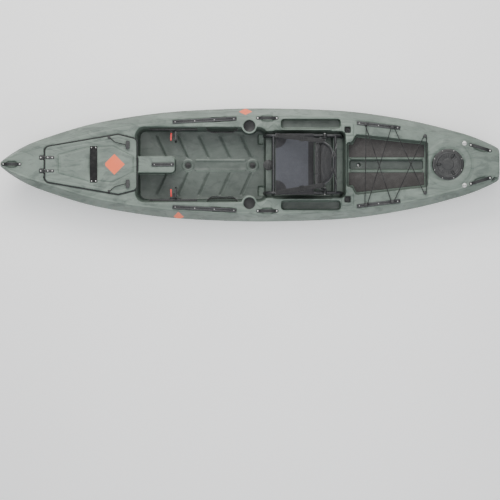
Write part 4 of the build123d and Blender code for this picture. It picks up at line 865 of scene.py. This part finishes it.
def hull_mesh(sizes):
    """The rotomoulded skin with its flowing edges and its moulded lines."""
    mesh = soft_skin("hull", sizes.skin_voxel, 5, thicker=0.006)
    places, normals = places_of(mesh)
    x, y, z = places.T
    facing_up = step(normals[:, 2], 0.55, 0.85)
    on_deck = (1 - step(np.abs(z - deck_height(x)), 0.004, 0.009)) * facing_up
    in_cockpit = (np.abs(z - 0.120) < 0.008) & (x > -0.84) & (x < 0.12) & (np.abs(y) < 0.27)
    places[:, 2] += on_deck * deck_detail(x, y)
    places[:, 2] += in_cockpit * facing_up * cockpit_detail(x, y, sizes.groove_depth)
    # Long faint runs in the skin, as a cooling moulding draws in between its ribs.
    draw = 0.0012 * np.sin(x * 9.0 + 1.3) * np.sin(np.abs(y) * 14.0 + z * 11.0)
    outer = step(-normals[:, 2], -0.6, -0.2) * step(np.abs(y), 0.05, 0.12)
    places += normals * (draw * outer)[:, None]
    places[:, 2] = np.maximum(places[:, 2], 0.0)
    put_places(mesh, places)
    return through_modifiers(mesh, ("DECIMATE", {"ratio": 0.34}))


def lid_mesh(sizes):
    """The moulded lid with raised panels and the creases between them."""
    mesh = soft_skin("bow_hatch_lid", sizes.lid_voxel, 4)
    places, normals = places_of(mesh)
    x, y = places.T[:2]
    side = np.abs(y)
    up = step(normals[:, 2], 0.6, 0.9)
    along = x + 1.538
    outline = np.interp(along, (0.0, 0.547, 0.684), (0.128, 0.222, 0.188))
    height = -0.0018 * hump(outline - side - 0.026, 0.005) * (1 - step(along, 0.60, 0.64))
    front_panel = 0.0705 + (x + 1.441) * 0.262
    along_front = step(x, -1.446, -1.438) * (1 - step(x, -1.218, -1.212))
    height -= 0.006 * hump(side - front_panel, 0.005) * along_front
    height -= 0.006 * hump(x + 1.444, 0.005) * (1 - step(side, 0.068, 0.074))
    rear_panel = np.interp(x, (-1.149, -1.027, -0.881), (0.128, 0.135, 0.057))
    along_rear = step(x, -1.152, -1.146) * (1 - step(x, -0.884, -0.878))
    height -= 0.006 * hump(side - rear_panel, 0.005) * along_rear
    height -= 0.0055 * hump(x + 0.880, 0.005) * (1 - step(side, 0.056, 0.062))
    within_front = (1 - step(side - front_panel, -0.02, -0.008)) * step(x, -1.43, -1.42)
    height += 0.0020 * within_front * (1 - step(x, -1.24, -1.23))
    places[:, 2] += up * height
    put_places(mesh, places)
    return mesh


def lid_edge_line(outward, height):
    """The lid's outline with its corners rounded, moved outward and lifted off the gasket's plane."""
    starboard = [(0.684, 0.188), (0.547, 0.222), (0, 0.128)]
    corners = np.array([(x, -y) for x, y in reversed(starboard)] + starboard)
    corner_radius = 0.034
    line = []
    for before, corner, after in zip(np.roll(corners, 1, 0), corners, np.roll(corners, -1, 0)):
        back = (before - corner) / np.linalg.norm(before - corner)
        ahead = (after - corner) / np.linalg.norm(after - corner)
        half_turn = math.acos(np.clip(back @ ahead, -1, 1)) / 2
        cut = corner_radius / math.tan(half_turn)
        inward = (back + ahead) / np.linalg.norm(back + ahead)
        middle = corner + inward * (corner_radius / math.sin(half_turn))
        for share in np.linspace(0, 1, 9):
            point = (corner + back * cut) * (1 - share) + (corner + ahead * cut) * share - middle
            line.append(middle + point / np.linalg.norm(point) * (corner_radius + outward))
    flat = np.array(line + line[:1])
    runs = np.concatenate([[0], np.cumsum(np.linalg.norm(np.diff(flat, axis=0), axis=1))])
    even = np.linspace(0, runs[-1], 360)
    along, across = np.interp(even, runs, flat[:, 0]), np.interp(even, runs, flat[:, 1])
    x = -1.538 + along * 0.99822 + height * 0.05961
    z = 0.37903 - along * 0.05961 + height * 0.99822
    return np.stack([x, across, z], axis=1)


class KAYAK_OT_hatch_bead(bpy.types.Operator):
    """Make the round rubber bead of the gasket that shows all round the bow lid"""

    bl_idname = "kayak.hatch_bead"
    bl_label = "Hatch bead"

    def execute(self, context):
        bead = rod("bead", lid_edge_line(0.0052, 0.0058), 0.0052, 10)
        new_piece("hatch_gasket_bead", bead, "hull", "seal_rubber")
        return {"FINISHED"}


class KAYAK_OT_hull(bpy.types.Operator):
    """Make the moulded hull skin"""

    bl_idname = "kayak.hull"
    bl_label = "Hull skin"

    def execute(self, context):
        mesh = hull_mesh(context.scene.kayak_sizes)
        new_piece("hull_skin", mesh, "hull", "marbled_polyethylene", replaced=["hull"])
        return {"FINISHED"}


class KAYAK_OT_bow_lid(bpy.types.Operator):
    """Make the moulded bow hatch lid"""

    bl_idname = "kayak.bow_lid"
    bl_label = "Bow hatch lid"

    def execute(self, context):
        mesh = lid_mesh(context.scene.kayak_sizes)
        new_piece(
            "bow_lid_shell", mesh, "bow_lid", "marbled_polyethylene", "marbled_lid",
            replaced=["bow_hatch_lid"])
        return {"FINISHED"}


# ---------------------------------------------------------------- hard fittings

edge_widths = {
    "hatch_gasket": 0.0012, "hatch_hinge_brackets": 0.0009, "hatch_hinge_leaves": 0.0009,
    "hatch_hinge_pins": 0.0004, "front_tracks": 0.0005, "rear_tracks": 0.0005,
    "console_track": 0.0005, "bungee_anchors": 0.001, "cup_liners": 0.0012,
    "rod_socket_sleeves": 0.001, "access_port_ring": 0.0014, "access_port_cap": 0.0012,
    "drain_bush": 0.0008, "drain_plug": 0.0008, "tow_eyes": 0.001, "foot_rails": 0.0012,
    "round_hatch_ring": 0.0018, "latch_eyes": 0.0007, "scupper_plug_front": 0.0012,
    "scupper_plug_rear": 0.0012, "seat_foot_caps": 0.0014, "back_pivot_brackets": 0.0008,
    "back_pivot_bolts": 0.0006, "track_screws": 0.0004, "handle_screws": 0.0007,
    "hinge_bracket_screws": 0.0005, "lid_rivets": 0.0006, "round_hatch_screws": 0.0004,
    "foot_pedal_right": 0.0018, "foot_pedal_left": 0.0018, "release_lever_right": 0.0012,
    "release_lever_left": 0.0012, "round_hatch_seal": 0.0006,
}


class KAYAK_OT_hard_fittings(bpy.types.Operator):
    """Round off the edges of every hard fitting"""

    bl_idname = "kayak.hard_fittings"
    bl_label = "Hard fittings"

    def execute(self, context):
        for name, width in edge_widths.items():
            mesh = soft_edges(welded(name), width)
            new_piece(name + "_finished", mesh, body_of_node[name], slot_of_node[name], replaced=[name])
        return {"FINISHED"}


class KAYAK_OT_round_hatch(bpy.types.Operator):
    """Make the round stern hatch cover with its ribs and its plain middle patch"""

    bl_idname = "kayak.round_hatch"
    bl_label = "Round hatch cover"

    def execute(self, context):
        mesh = soft_skin("round_hatch_cover", 0.0022, 4)
        places, normals = places_of(mesh)
        centre, lean = Vector((1.491, 0.0, 0.3515)), Vector((-0.07113, 0.0, 0.99747))
        offset = places - np.array(centre)
        rise = offset @ np.array(lean)
        across = offset - rise[:, None] * np.array(lean)
        reach = np.linalg.norm(across, axis=1)
        turn = np.arctan2(across[:, 1], across[:, 0])
        up = step(normals @ np.array(lean), 0.5, 0.9)
        height = -0.0022 * (step(reach, 0.040, 0.044) - step(reach, 0.078, 0.083))
        ribs = hump(((turn * 12 / math.pi + 0.5) % 1.0) - 0.5, 0.16)
        height += 0.0016 * ribs * (step(reach, 0.046, 0.050) - step(reach, 0.073, 0.077))
        height -= 0.0012 * hump(reach - 0.092, 0.003)
        places += np.array(lean) * (up * height)[:, None]
        put_places(mesh, places)
        body = "round_hatch_cover"
        new_piece("round_hatch_lid", mesh, body, "black_nylon", replaced=["round_hatch_cover"])
        patch_points = disc_points(centre + lean * 0.0094, lean, 0.033)
        patch = soft_edges(quads("patch", patch_points, around=True, closed_ends=True), 0.0005)
        new_piece("round_hatch_patch", patch, body, "red_nylon", "accent_patch")
        return {"FINISHED"}


def disc_points(centre, lean, radius, thickness=0.0016, sides=4):
    """Rings of a thin plain lozenge lying square to lean."""
    first = Vector((0, 1, 0)).cross(lean).normalized()
    second = lean.cross(first)
    rings = []
    for rise in (0.0, thickness):
        ring = []
        for index in range(sides):
            turn = 2 * math.pi * index / sides
            ring.append(centre + lean * rise + (first * math.cos(turn) + second * math.sin(turn)) * radius)
        rings.append(ring)
    return np.array(rings)


# ---------------------------------------------------------------- handles, grips, pads and cords


def ribbed(name, voxel, pitch, depth, smoothings=4):
    """A rubber moulding with shallow grip ribs across its length, on the faces that look up or down."""
    mesh = soft_skin(name, voxel, smoothings)
    places, normals = places_of(mesh)
    count = len(places)
    group = np.zeros(count, int)
    if places[:, 1].min() < -0.05 and places[:, 1].max() > 0.05:
        group = (places[:, 1] > 0).astype(int)
    for index in np.unique(group):
        chosen = group == index
        middle = places[chosen].mean(0)
        spread = places[chosen] - middle
        longest = np.linalg.eigh(spread.T @ spread)[1][:, -1]
        along = spread @ longest
        half = np.abs(along).max()
        wave = 0.5 + 0.5 * np.cos(along * 2 * math.pi / pitch)
        reach = 1 - step(np.abs(along), half * 0.52, half * 0.66)
        places[chosen] += normals[chosen] * (wave * reach * depth * np.abs(normals[chosen][:, 2]))[:, None]
    put_places(mesh, places)
    return mesh


class KAYAK_OT_handles(bpy.types.Operator):
    """Make the ribbed rubber carry handles and latch grips"""

    bl_idname = "kayak.handles"
    bl_label = "Handles and grips"

    def execute(self, context):
        for name in ("bow_handle", "side_handle_right", "side_handle_left", "stern_handles"):
            mesh = ribbed(name, 0.0017, 0.009, 0.0011)
            new_piece(name + "_grip", mesh, body_of_node[name], "handle_rubber", replaced=[name])
        for name in ("latch_grip_right", "latch_grip_left"):
            mesh = ribbed(name, 0.0012, 0.007, 0.0009)
            new_piece(name + "_moulding", mesh, body_of_node[name], slot_of_node[name], replaced=[name])
        return {"FINISHED"}


class KAYAK_OT_grip_strap(bpy.types.Operator):
    """Make the wide carrying strap on the bow lid"""

    bl_idname = "kayak.grip_strap"
    bl_label = "Lid grip strap"

    def execute(self, context):
        mesh = soft_skin("lid_grip_strap", 0.0024, 3)
        places, normals = places_of(mesh)
        y = places[:, 1]
        rib = np.cos(places[:, 0] * 2 * math.pi / 0.0095)
        reach = 1 - step(np.abs(y), 0.085, 0.1)
        places += normals * (0.0007 * rib * reach * np.abs(normals[:, 2]))[:, None]
        put_places(mesh, places)
        slot = slot_of_node["lid_grip_strap"]
        new_piece("lid_grip_band", mesh, "bow_lid", slot, replaced=["lid_grip_strap"])
        return {"FINISHED"}


class KAYAK_OT_deck_pads(bpy.types.Operator):
    """Make the foam deck pads with their pressed diamond pattern"""

    bl_idname = "kayak.deck_pads"
    bl_label = "Deck pads"

    def execute(self, context):
        mesh = soft_skin("deck_pads", 0.0033, 2)
        places, normals = places_of(mesh)
        x, y = places.T[:2]
        up = step(normals[:, 2], 0.7, 0.95)
        pitch = 0.042
        height = np.zeros_like(x)
        for sign in (1, -1):
            lane = (x + sign * y) * math.sqrt(0.5)
            away = np.abs((lane / pitch + 0.5) % 1.0 - 0.5) * pitch
            height = np.minimum(height, -0.0016 * hump(away, 0.0026))
        places[:, 2] += up * height
        put_places(mesh, places)
        new_piece("deck_foam", mesh, "hull", "grey_foam_mat", replaced=["deck_pads"])
        return {"FINISHED"}


def pocket_meshes(side):
    """The net, the elastic hem and the two end gussets of one side pocket."""
    lean = math.tan(math.radians(7))
    low, high = 0.184, 0.290
    front, rear = -0.3255, -0.0965
    foot = 0.2655
    rows, columns = 22, 40
    points, places = np.zeros((rows, columns, 3)), np.zeros((rows, columns, 2))
    for row, rise in enumerate(np.linspace(0, 1, rows)):
        z = low + (high - low) * rise
        for column, share in enumerate(np.linspace(0, 1, columns)):
            round_ends = 1 - abs(2 * share - 1) ** 6
            bulge = (0.010 + 0.023 * rise) * round_ends + 0.003 * math.sin(share * 9) * rise * round_ends
            sag = 0.008 * (1 - (2 * share - 1) ** 2) * rise
            wall_y = foot + lean * (z - low) - 0.0025
            points[row, column] = (front + (rear - front) * share, side * (wall_y - bulge), z - sag)
            places[row, column] = ((rear - front) * share, (high - low) * rise)
    net = quads("net", points, places)
    hem = rod("hem", points[-1], 0.0032, 10)
    ends = []
    for column in (0, columns - 1):
        edge = points[:, column].copy()
        ends.append(rod("end", edge, 0.003, 8))
    foot_line = rod("foot", points[0], 0.003, 8)
    return net, joined("trim", hem, foot_line, *ends)


class KAYAK_OT_side_pockets(bpy.types.Operator):
    """Make the net pockets on the cockpit walls"""

    bl_idname = "kayak.side_pockets"
    bl_label = "Side pockets"

    def execute(self, context):
        for side, hand in ((1, "right"), (-1, "left")):
            net, trim = pocket_meshes(side)
            net = new_piece("pocket_net_" + hand, net, "hull", "pocket_mesh", replaced=["side_pockets"])
            trim = new_piece("pocket_trim_" + hand, trim, "hull", "black_webbing")
        return {"FINISHED"}


# ---------------------------------------------------------------- seat


def sling_mesh(thickness):
    """Seat fabric sewn round both side rails, sagging between them."""
    rail_y, rail_z, rail_reach = 0.214, 0.430, 0.0118
    wrap = np.radians(np.linspace(-115, 128, 16))
    outer = [(rail_y + rail_reach * math.cos(a), rail_z + rail_reach * math.sin(a)) for a in wrap]
    edge_y, edge_z = outer[-1]
    middle = [(edge_y * t, None) for t in np.linspace(1, -1, 60)[1:-1]]
    profile = outer + middle + [(-y, z) for y, z in reversed(outer)]
    front, rear = 0.192, 0.476
    rows = 46
    run = [0.0]
    for before, after in zip(profile, profile[1:]):
        gap = abs(after[0] - before[0]) if None in (before[1], after[1]) else math.dist(before, after)
        run.append(run[-1] + gap)
    points, places = np.zeros((rows, len(profile), 3)), np.zeros((rows, len(profile), 2))
    for row, share in enumerate(np.linspace(0, 1, rows)):
        x = front + (rear - front) * share
        for column, (y, z) in enumerate(profile):
            if z is None:
                u = y / edge_y
                sag = 0.022 * (1 - u * u) * (0.86 + 0.14 * math.sin(math.pi * share))
                pull = 0.0016 * math.sin(u * 21 + share * 5) * (u * u)
                pull *= math.exp(-((share - 0.5) / 0.5) ** 2)
                ease = 0.0012 * math.sin(share * math.pi * 7) * (1 - u * u) ** 2 * 0.6
                z = edge_z - sag + pull + ease
            hem = 0.0012 * sum(math.exp(-((share - end) / 0.025) ** 2) for end in (0.035, 0.965))
            seam = 0.0009 * math.exp(-((share - 0.86) / 0.008) ** 2)
            points[row, column] = (x, y, z + (hem - seam if abs(y) < 0.2 else 0.0))
            places[row, column] = (run[column], x)
    fabric = quads("fabric", points, places)
    downward = -1.0 if fabric.polygons[0].normal.z > 0 else 1.0
    result = through_modifiers(fabric, ("SOLIDIFY", {"thickness": thickness, "offset": downward}))
    return result, run[-1], rear - front


class KAYAK_OT_sling(bpy.types.Operator):
    """Make the seat sling"""

    bl_idname = "kayak.sling"
    bl_label = "Seat sling"

    def execute(self, context):
        mesh, width, length = sling_mesh(context.scene.kayak_sizes.sling_thickness)
        piece = new_piece("sling_fabric", mesh, "seat", "grey_sling", replaced=["seat_sling"])
        return {"FINISHED"}


def back_curve(share):
    """The back panel's front face, from its foot to its head."""
    foot_to_head = np.array([(0.508, 0.462), (0.483, 0.529), (0.490, 0.603), (0.503, 0.655)])
    runs = np.concatenate([[0], np.cumsum(np.linalg.norm(np.diff(foot_to_head, axis=0), axis=1))])
    runs /= runs[-1]
    bend_x = np.polyfit(runs, foot_to_head[:, 0], 3)
    bend_z = np.polyfit(runs, foot_to_head[:, 1], 3)
    return np.polyval(bend_x, share), np.polyval(bend_z, share)


def back_panel_mesh():
    """A crowned padded panel with two upright seams, cross channels and a piped edge."""
    rows, columns = 52, 76
    half_width, half_thickness, middle = 0.157, 0.0118, 0.012
    rng = np.random.default_rng(5)
    phases = rng.uniform(0, 6.28, 6)
    grids, cloths = [], []
    rim = None
    for hand in (1, -1):
        points, places = np.zeros((rows, columns, 3)), np.zeros((rows, columns, 2))
        for row, s in enumerate(np.linspace(0, 1, rows)):
            x, z = back_curve(s)
            ahead_x, ahead_z = back_curve(min(1, s + 0.01))
            behind_x, behind_z = back_curve(max(0, s - 0.01))
            run = Vector((ahead_x - behind_x, 0, ahead_z - behind_z)).normalized()
            square = Vector((-run.z, 0, run.x))
            end = abs(2 * s - 1)
            width = half_width * (1 - 0.16 * max(0, (end - 0.72) / 0.28) ** 2.2)
            for column, t in enumerate(np.linspace(-1, 1, columns)):
                crown = max(0.0, (1 - abs(t) ** 7) * (1 - end ** 9)) ** 0.5
                seams = 0.42 * sum(math.exp(-((t - c) / 0.018) ** 2) for c in (-0.52, 0.52))
                channels = 0.30 * sum(math.exp(-((s - c) / 0.018) ** 2) for c in (0.25, 0.5, 0.75))
                channels *= 1 - step(abs(t), 0.48, 0.52)
                waves = [math.sin(t * (7 + 5 * i) + s * (11 - 4 * i) + phases[i]) for i in range(3)]
                wrinkle = sum(waves) * 0.03
                thick = half_thickness * crown * max(0.2, 0.86 - seams - channels + wrinkle)
                point = Vector((x + middle, t * width, z)) + square * (thick * hand)
                points[row, column] = point
                places[row, column] = (t * width, s * 0.2)
        grids.append(points)
        cloths.append(places)
        rim = points
    front = quads("front", grids[0], cloths[0])
    rear = quads("rear", grids[1][:, ::-1], cloths[1][:, ::-1])
    shape = bmesh.new()
    shape.from_mesh(front)
    shape.from_mesh(rear)
    bmesh.ops.remove_doubles(shape, verts=shape.verts[:], dist=0.0004)
    bmesh.ops.recalc_face_normals(shape, faces=shape.faces[:])
    panel = bpy.data.meshes.new("panel")
    shape.to_mesh(panel)
    shape.free()
    panel.shade_smooth()
    loop = np.concatenate([rim[0], rim[1:, -1], rim[-1, -2::-1], rim[-2::-1, 0]])
    piping = rod("piping", loop, 0.0028, 8)
    return panel, piping


def head_panel_mesh():
    """The fabric stretched between the back's tubes above the padding, creased by its own pull."""
    rows, columns = 34, 56
    # Points up the middle: x, z and the share of the tubes' widest half spread.
    line = np.array([
        (0.5195, 0.634, 0.88), (0.546, 0.680, 0.80), (0.586, 0.752, 0.62), (0.604, 0.780, 0.42)])
    tube_half_spread, sleeve = 0.1915, 0.008
    runs = np.concatenate([[0], np.cumsum(np.linalg.norm(np.diff(line[:, :2], axis=0), axis=1))])
    runs /= runs[-1]
    points, places = np.zeros((rows, columns, 3)), np.zeros((rows, columns, 2))
    for row, s in enumerate(np.linspace(0, 1, rows)):
        x, z, share = (np.interp(s, runs, line[:, index]) for index in range(3))
        half = tube_half_spread * share - sleeve
        for column, t in enumerate(np.linspace(-1, 1, columns)):
            slack = (1 - t * t) * (0.010 * math.sin(math.pi * s) + 0.002)
            crease = 0.0022 * math.sin(9 * t + 6 * s) * (1 - abs(t) ** 4)
            crease += 0.0016 * math.sin(17 * s - 5 * t * t)
            points[row, column] = (x - 0.6 * slack + 0.8 * crease, t * half, z + 0.5 * slack + 0.5 * crease)
            places[row, column] = (t * half, s * 0.175)
    fabric = quads("head", points, places)
    return through_modifiers(fabric, ("SOLIDIFY", {"thickness": 0.0024, "offset": 0.0}))


class KAYAK_OT_back_panel(bpy.types.Operator):
    """Make the padded back panel"""

    bl_idname = "kayak.back_panel"
    bl_label = "Back panel"

    def execute(self, context):
        panel, piping = back_panel_mesh()
        slot = slot_of_node["back_pad"]
        piece = new_piece("back_panel", panel, "seat_back", slot, "back_fabric", replaced=["back_pad"])
        new_piece("back_piping", piping, "seat_back", "black_webbing")
        new_piece("back_head_fabric", head_panel_mesh(), "seat_back", slot, "back_fabric")
        return {"FINISHED"}


def strap_path(start, end, foot_reach, head_reach, face):
    """A strap's middle line: round its foot bar, along, round its head bar and doubled back."""
    start, end, face = np.array(start), np.array(end), np.array(face)
    along = (end - start) / np.linalg.norm(end - start)
    turns = np.radians(np.linspace(-60, 90, 9))
    path = [start + (face * math.sin(a) - along * math.cos(a)) * foot_reach for a in turns[:-1]]
    length = np.linalg.norm(end - start)
    for share in np.linspace(0, 1, 40):
        lift = foot_reach + (head_reach - foot_reach) * share
        path.append(start + along * (length * share) + face * (lift - 0.003 * math.sin(math.pi * share)))
    for a in np.radians(np.linspace(75, -75, 9)):
        path.append(end + along * (head_reach * math.cos(a)) + face * (head_reach * math.sin(a)))
    tail = 0.055
    for share in np.linspace(0, 1, 8):
        drop = -head_reach + share * (2 * head_reach - 0.0027)
        path.append(end - along * (tail * share + 0.004) + face * drop)
    return np.array(path), length


def buckle_mesh(centre, along, across, face, width):
    """A ladder buckle: two side bars and three cross bars, with rounded edges."""
    half = width / 2 + 0.003
    bars = []
    for side in (1, -1):
        bars.append((across * (side * half), 0.036, 0.005, 0.0075))
    for place in (-0.0155, 0.0, 0.0155):
        bars.append((along * place, 0.005, 2 * half, 0.006 if place else 0.0075))
    shape = bmesh.new()
    for offset, length, breadth, height in bars:
        corners = []
        for a, b, c in ((i, j, k) for i in (-1, 1) for j in (-1, 1) for k in (-1, 1)):
            place = along * (a * length / 2) + across * (b * breadth / 2) + face * (c * height / 2)
            corners.append(shape.verts.new(centre + offset + place))
        for ring in ((0, 1, 3, 2), (4, 6, 7, 5), (0, 4, 5, 1), (2, 3, 7, 6), (0, 2, 6, 4), (1, 5, 7, 3)):
            shape.faces.new([corners[index] for index in ring])
    bmesh.ops.recalc_face_normals(shape, faces=shape.faces[:])
    mesh = bpy.data.meshes.new("buckle")
    shape.to_mesh(mesh)
    shape.free()
    return soft_edges(mesh, 0.0011, 3)


class KAYAK_OT_straps(bpy.types.Operator):
    """Make the recline straps and rear straps with their buckles"""

    bl_idname = "kayak.straps"
    bl_label = "Back straps"

    def execute(self, context):
        thickness = context.scene.kayak_sizes.strap_thickness
        for side, hand in ((1, "right"), (-1, "left")):
            # Each strap's name, ends, reach round its foot and head bars, width, buckle share and face.
            plans = (
                ("recline_strap_", (0.205, side * 0.214, 0.4445), (0.543, side * 0.163, 0.672),
                 0.0145, 0.0112, 0.034, 0.55, (0, 0, 1)),
                ("rear_strap_", (0.640, side * 0.150, 0.430), (0.6135, side * 0.052, 0.793),
                 0.0112, 0.0108, 0.024, 0.62, (1, 0, 0)),
            )
            for name, start, end, foot, head, width, at, look in plans:
                along = (Vector(end) - Vector(start)).normalized()
                face = (Vector(look) - along * along.dot(Vector(look))).normalized()
                across = along.cross(face)
                path, length = strap_path(start, end, foot, head, face)
                widths = np.tile(np.array(across), (len(path), 1))
                mesh = ribbon(name + hand, path, widths, width, thickness)
                bodies = ("seat", "seat_back", start, end)
                new_piece(name + hand + "_web", mesh, bodies, "black_webbing", replaced=[name + hand])
                lift = foot + (head - foot) * at - 0.003 * math.sin(math.pi * at)
                centre = Vector(start) + along * (length * at) + face * lift
                buckle = buckle_mesh(centre, along, across, face, width)
                new_piece(name + hand + "_buckle", buckle, bodies, "black_nylon")
        return {"FINISHED"}


class KAYAK_OT_seat_frame(bpy.types.Operator):
    """Make the bent tubes of the seat and its back"""

    bl_idname = "kayak.seat_frame"
    bl_label = "Seat tubes"

    def execute(self, context):
        for name in ("seat_side_frame_right", "seat_side_frame_left", "seat_cross_tubes", "back_frame"):
            mesh = welded(name, dissolve=False)
            mesh.shade_smooth()
            mesh.set_sharp_from_angle(angle=crease_angle)
            new_piece(name + "_tube", mesh, body_of_node[name], slot_of_node[name], replaced=[name])
        return {"FINISHED"}


class KAYAK_OT_kept_solids(bpy.types.Operator):
    """Give every solid that stays in view its finish"""

    bl_idname = "kayak.kept_solids"
    bl_label = "Kept solids"

    def execute(self, context):
        for name, solid in frame["nodes"].items():
            for place in solid.material_slots:
                place.material = finishes[slot_of_node[name]]
        return {"FINISHED"}


class KAYAK_OT_finishes(bpy.types.Operator):
    """Make the shared effects and every finish"""

    bl_idname = "kayak.finishes"
    bl_label = "Finishes"

    def execute(self, context):
        make_effects()
        make_finishes()
        accent = tuple(context.scene.kayak_colours.accent)
        finishes["accent_patch"] = moulded("accent_patch", accent, 0.45, dust=0.08)
        return {"FINISHED"}


# ---------------------------------------------------------------- stage


def soft_lamp(name, place, target, size, power, colour):
    lamp = bpy.data.lights.new(name, "AREA")
    lamp.shape = "RECTANGLE"
    lamp.size, lamp.size_y = size
    lamp.energy = power
    lamp.color = colour
    holder = bpy.data.objects.new(name, lamp)
    holder.location = place
    holder.rotation_euler = (Vector(target) - Vector(place)).to_track_quat("-Z", "Y").to_euler()
    bpy.context.scene.collection.objects.link(holder)


class KAYAK_OT_stage(bpy.types.Operator):
    """Make the camera, the floor and the studio light"""

    bl_idname = "kayak.stage"
    bl_label = "Stage"

    def execute(self, context):
        lens = bpy.data.cameras.new("view")
        lens.lens = 200.0
        lens.sensor_width = 36.0
        lens.clip_end = 100.0
        camera = bpy.data.objects.new("view", lens)
        camera.location = (0.0, -0.644, 21.25)
        context.scene.collection.objects.link(camera)
        context.scene.camera = camera

        across = np.linspace(-1, 1, 9)
        points = np.array([[(12 * u, 12 * v, -0.001) for u in across] for v in across])
        floor = bpy.data.objects.new("floor", quads("floor", points))
        context.scene.collection.objects.link(floor)
        made, tree, shader = new_finish("studio_floor")
        colour = tuple(context.scene.kayak_colours.floor)
        tone = use(tree, "moulded grain", Scale=60.0)["Tone"]
        base = blend_colour(tree, tone, shade_of(colour, 0.985), opaque(colour))
        feed(tree, base, shader.inputs["Base Color"])
        shader.inputs["Roughness"].default_value = 0.9
        shader.inputs["Emission Color"].default_value = opaque(colour)
        shader.inputs["Emission Strength"].default_value = 0.3
        floor.data.materials.append(made)

        soft_lamp("key", (-0.6, 3.4, 4.6), (0.0, 0.0, 0.2), (5.0, 2.6), 300.0, (1.0, 0.985, 0.96))
        soft_lamp("fill", (0.8, -3.6, 4.2), (0.0, 0.0, 0.2), (5.5, 3.0), 100.0, (0.94, 0.97, 1.0))
        soft_lamp("top", (0.0, 0.2, 6.0), (0.0, 0.0, 0.0), (6.0, 4.0), 180.0, (1.0, 1.0, 1.0))
        world = bpy.data.worlds.new("studio")
        world.use_nodes = True
        world.node_tree.nodes["Background"].inputs["Color"].default_value = (0.93, 0.95, 1.0, 1.0)
        world.node_tree.nodes["Background"].inputs["Strength"].default_value = 0.36
        context.scene.world = world
        return {"FINISHED"}


# ---------------------------------------------------------------- panel and registration

makers = (
    KAYAK_OT_finishes, KAYAK_OT_stage, KAYAK_OT_hull, KAYAK_OT_bow_lid, KAYAK_OT_hatch_bead,
    KAYAK_OT_hard_fittings,
    KAYAK_OT_round_hatch, KAYAK_OT_handles, KAYAK_OT_grip_strap, KAYAK_OT_deck_pads, KAYAK_OT_side_pockets,
    KAYAK_OT_seat_frame, KAYAK_OT_sling, KAYAK_OT_back_panel, KAYAK_OT_straps, KAYAK_OT_kept_solids,
)


class KAYAK_PT_makers(bpy.types.Panel):
    """Buttons for the kayak's pieces"""

    bl_idname = "KAYAK_PT_makers"
    bl_label = "Kayak"
    bl_space_type = "VIEW_3D"
    bl_region_type = "UI"
    bl_category = "Kayak"

    def draw(self, context):
        for group in (context.scene.kayak_sizes, context.scene.kayak_colours):
            for name in group.bl_rna.properties.keys():
                if name not in ("rna_type", "name"):
                    self.layout.prop(group, name)
        for maker in makers:
            self.layout.operator(maker.bl_idname)


classes = (KayakSizes, KayakColours, *makers, KAYAK_PT_makers)


def register():
    for made in classes:
        bpy.utils.register_class(made)
    bpy.types.Scene.kayak_sizes = bpy.props.PointerProperty(type=KayakSizes)
    bpy.types.Scene.kayak_colours = bpy.props.PointerProperty(type=KayakColours)


def unregister():
    del bpy.types.Scene.kayak_colours
    del bpy.types.Scene.kayak_sizes
    for made in reversed(classes):
        bpy.utils.unregister_class(made)


def main():
    register()
    for maker in makers:
        group, name = maker.bl_idname.split(".")
        getattr(getattr(bpy.ops, group), name)()


if __name__ == "__main__":
    main()
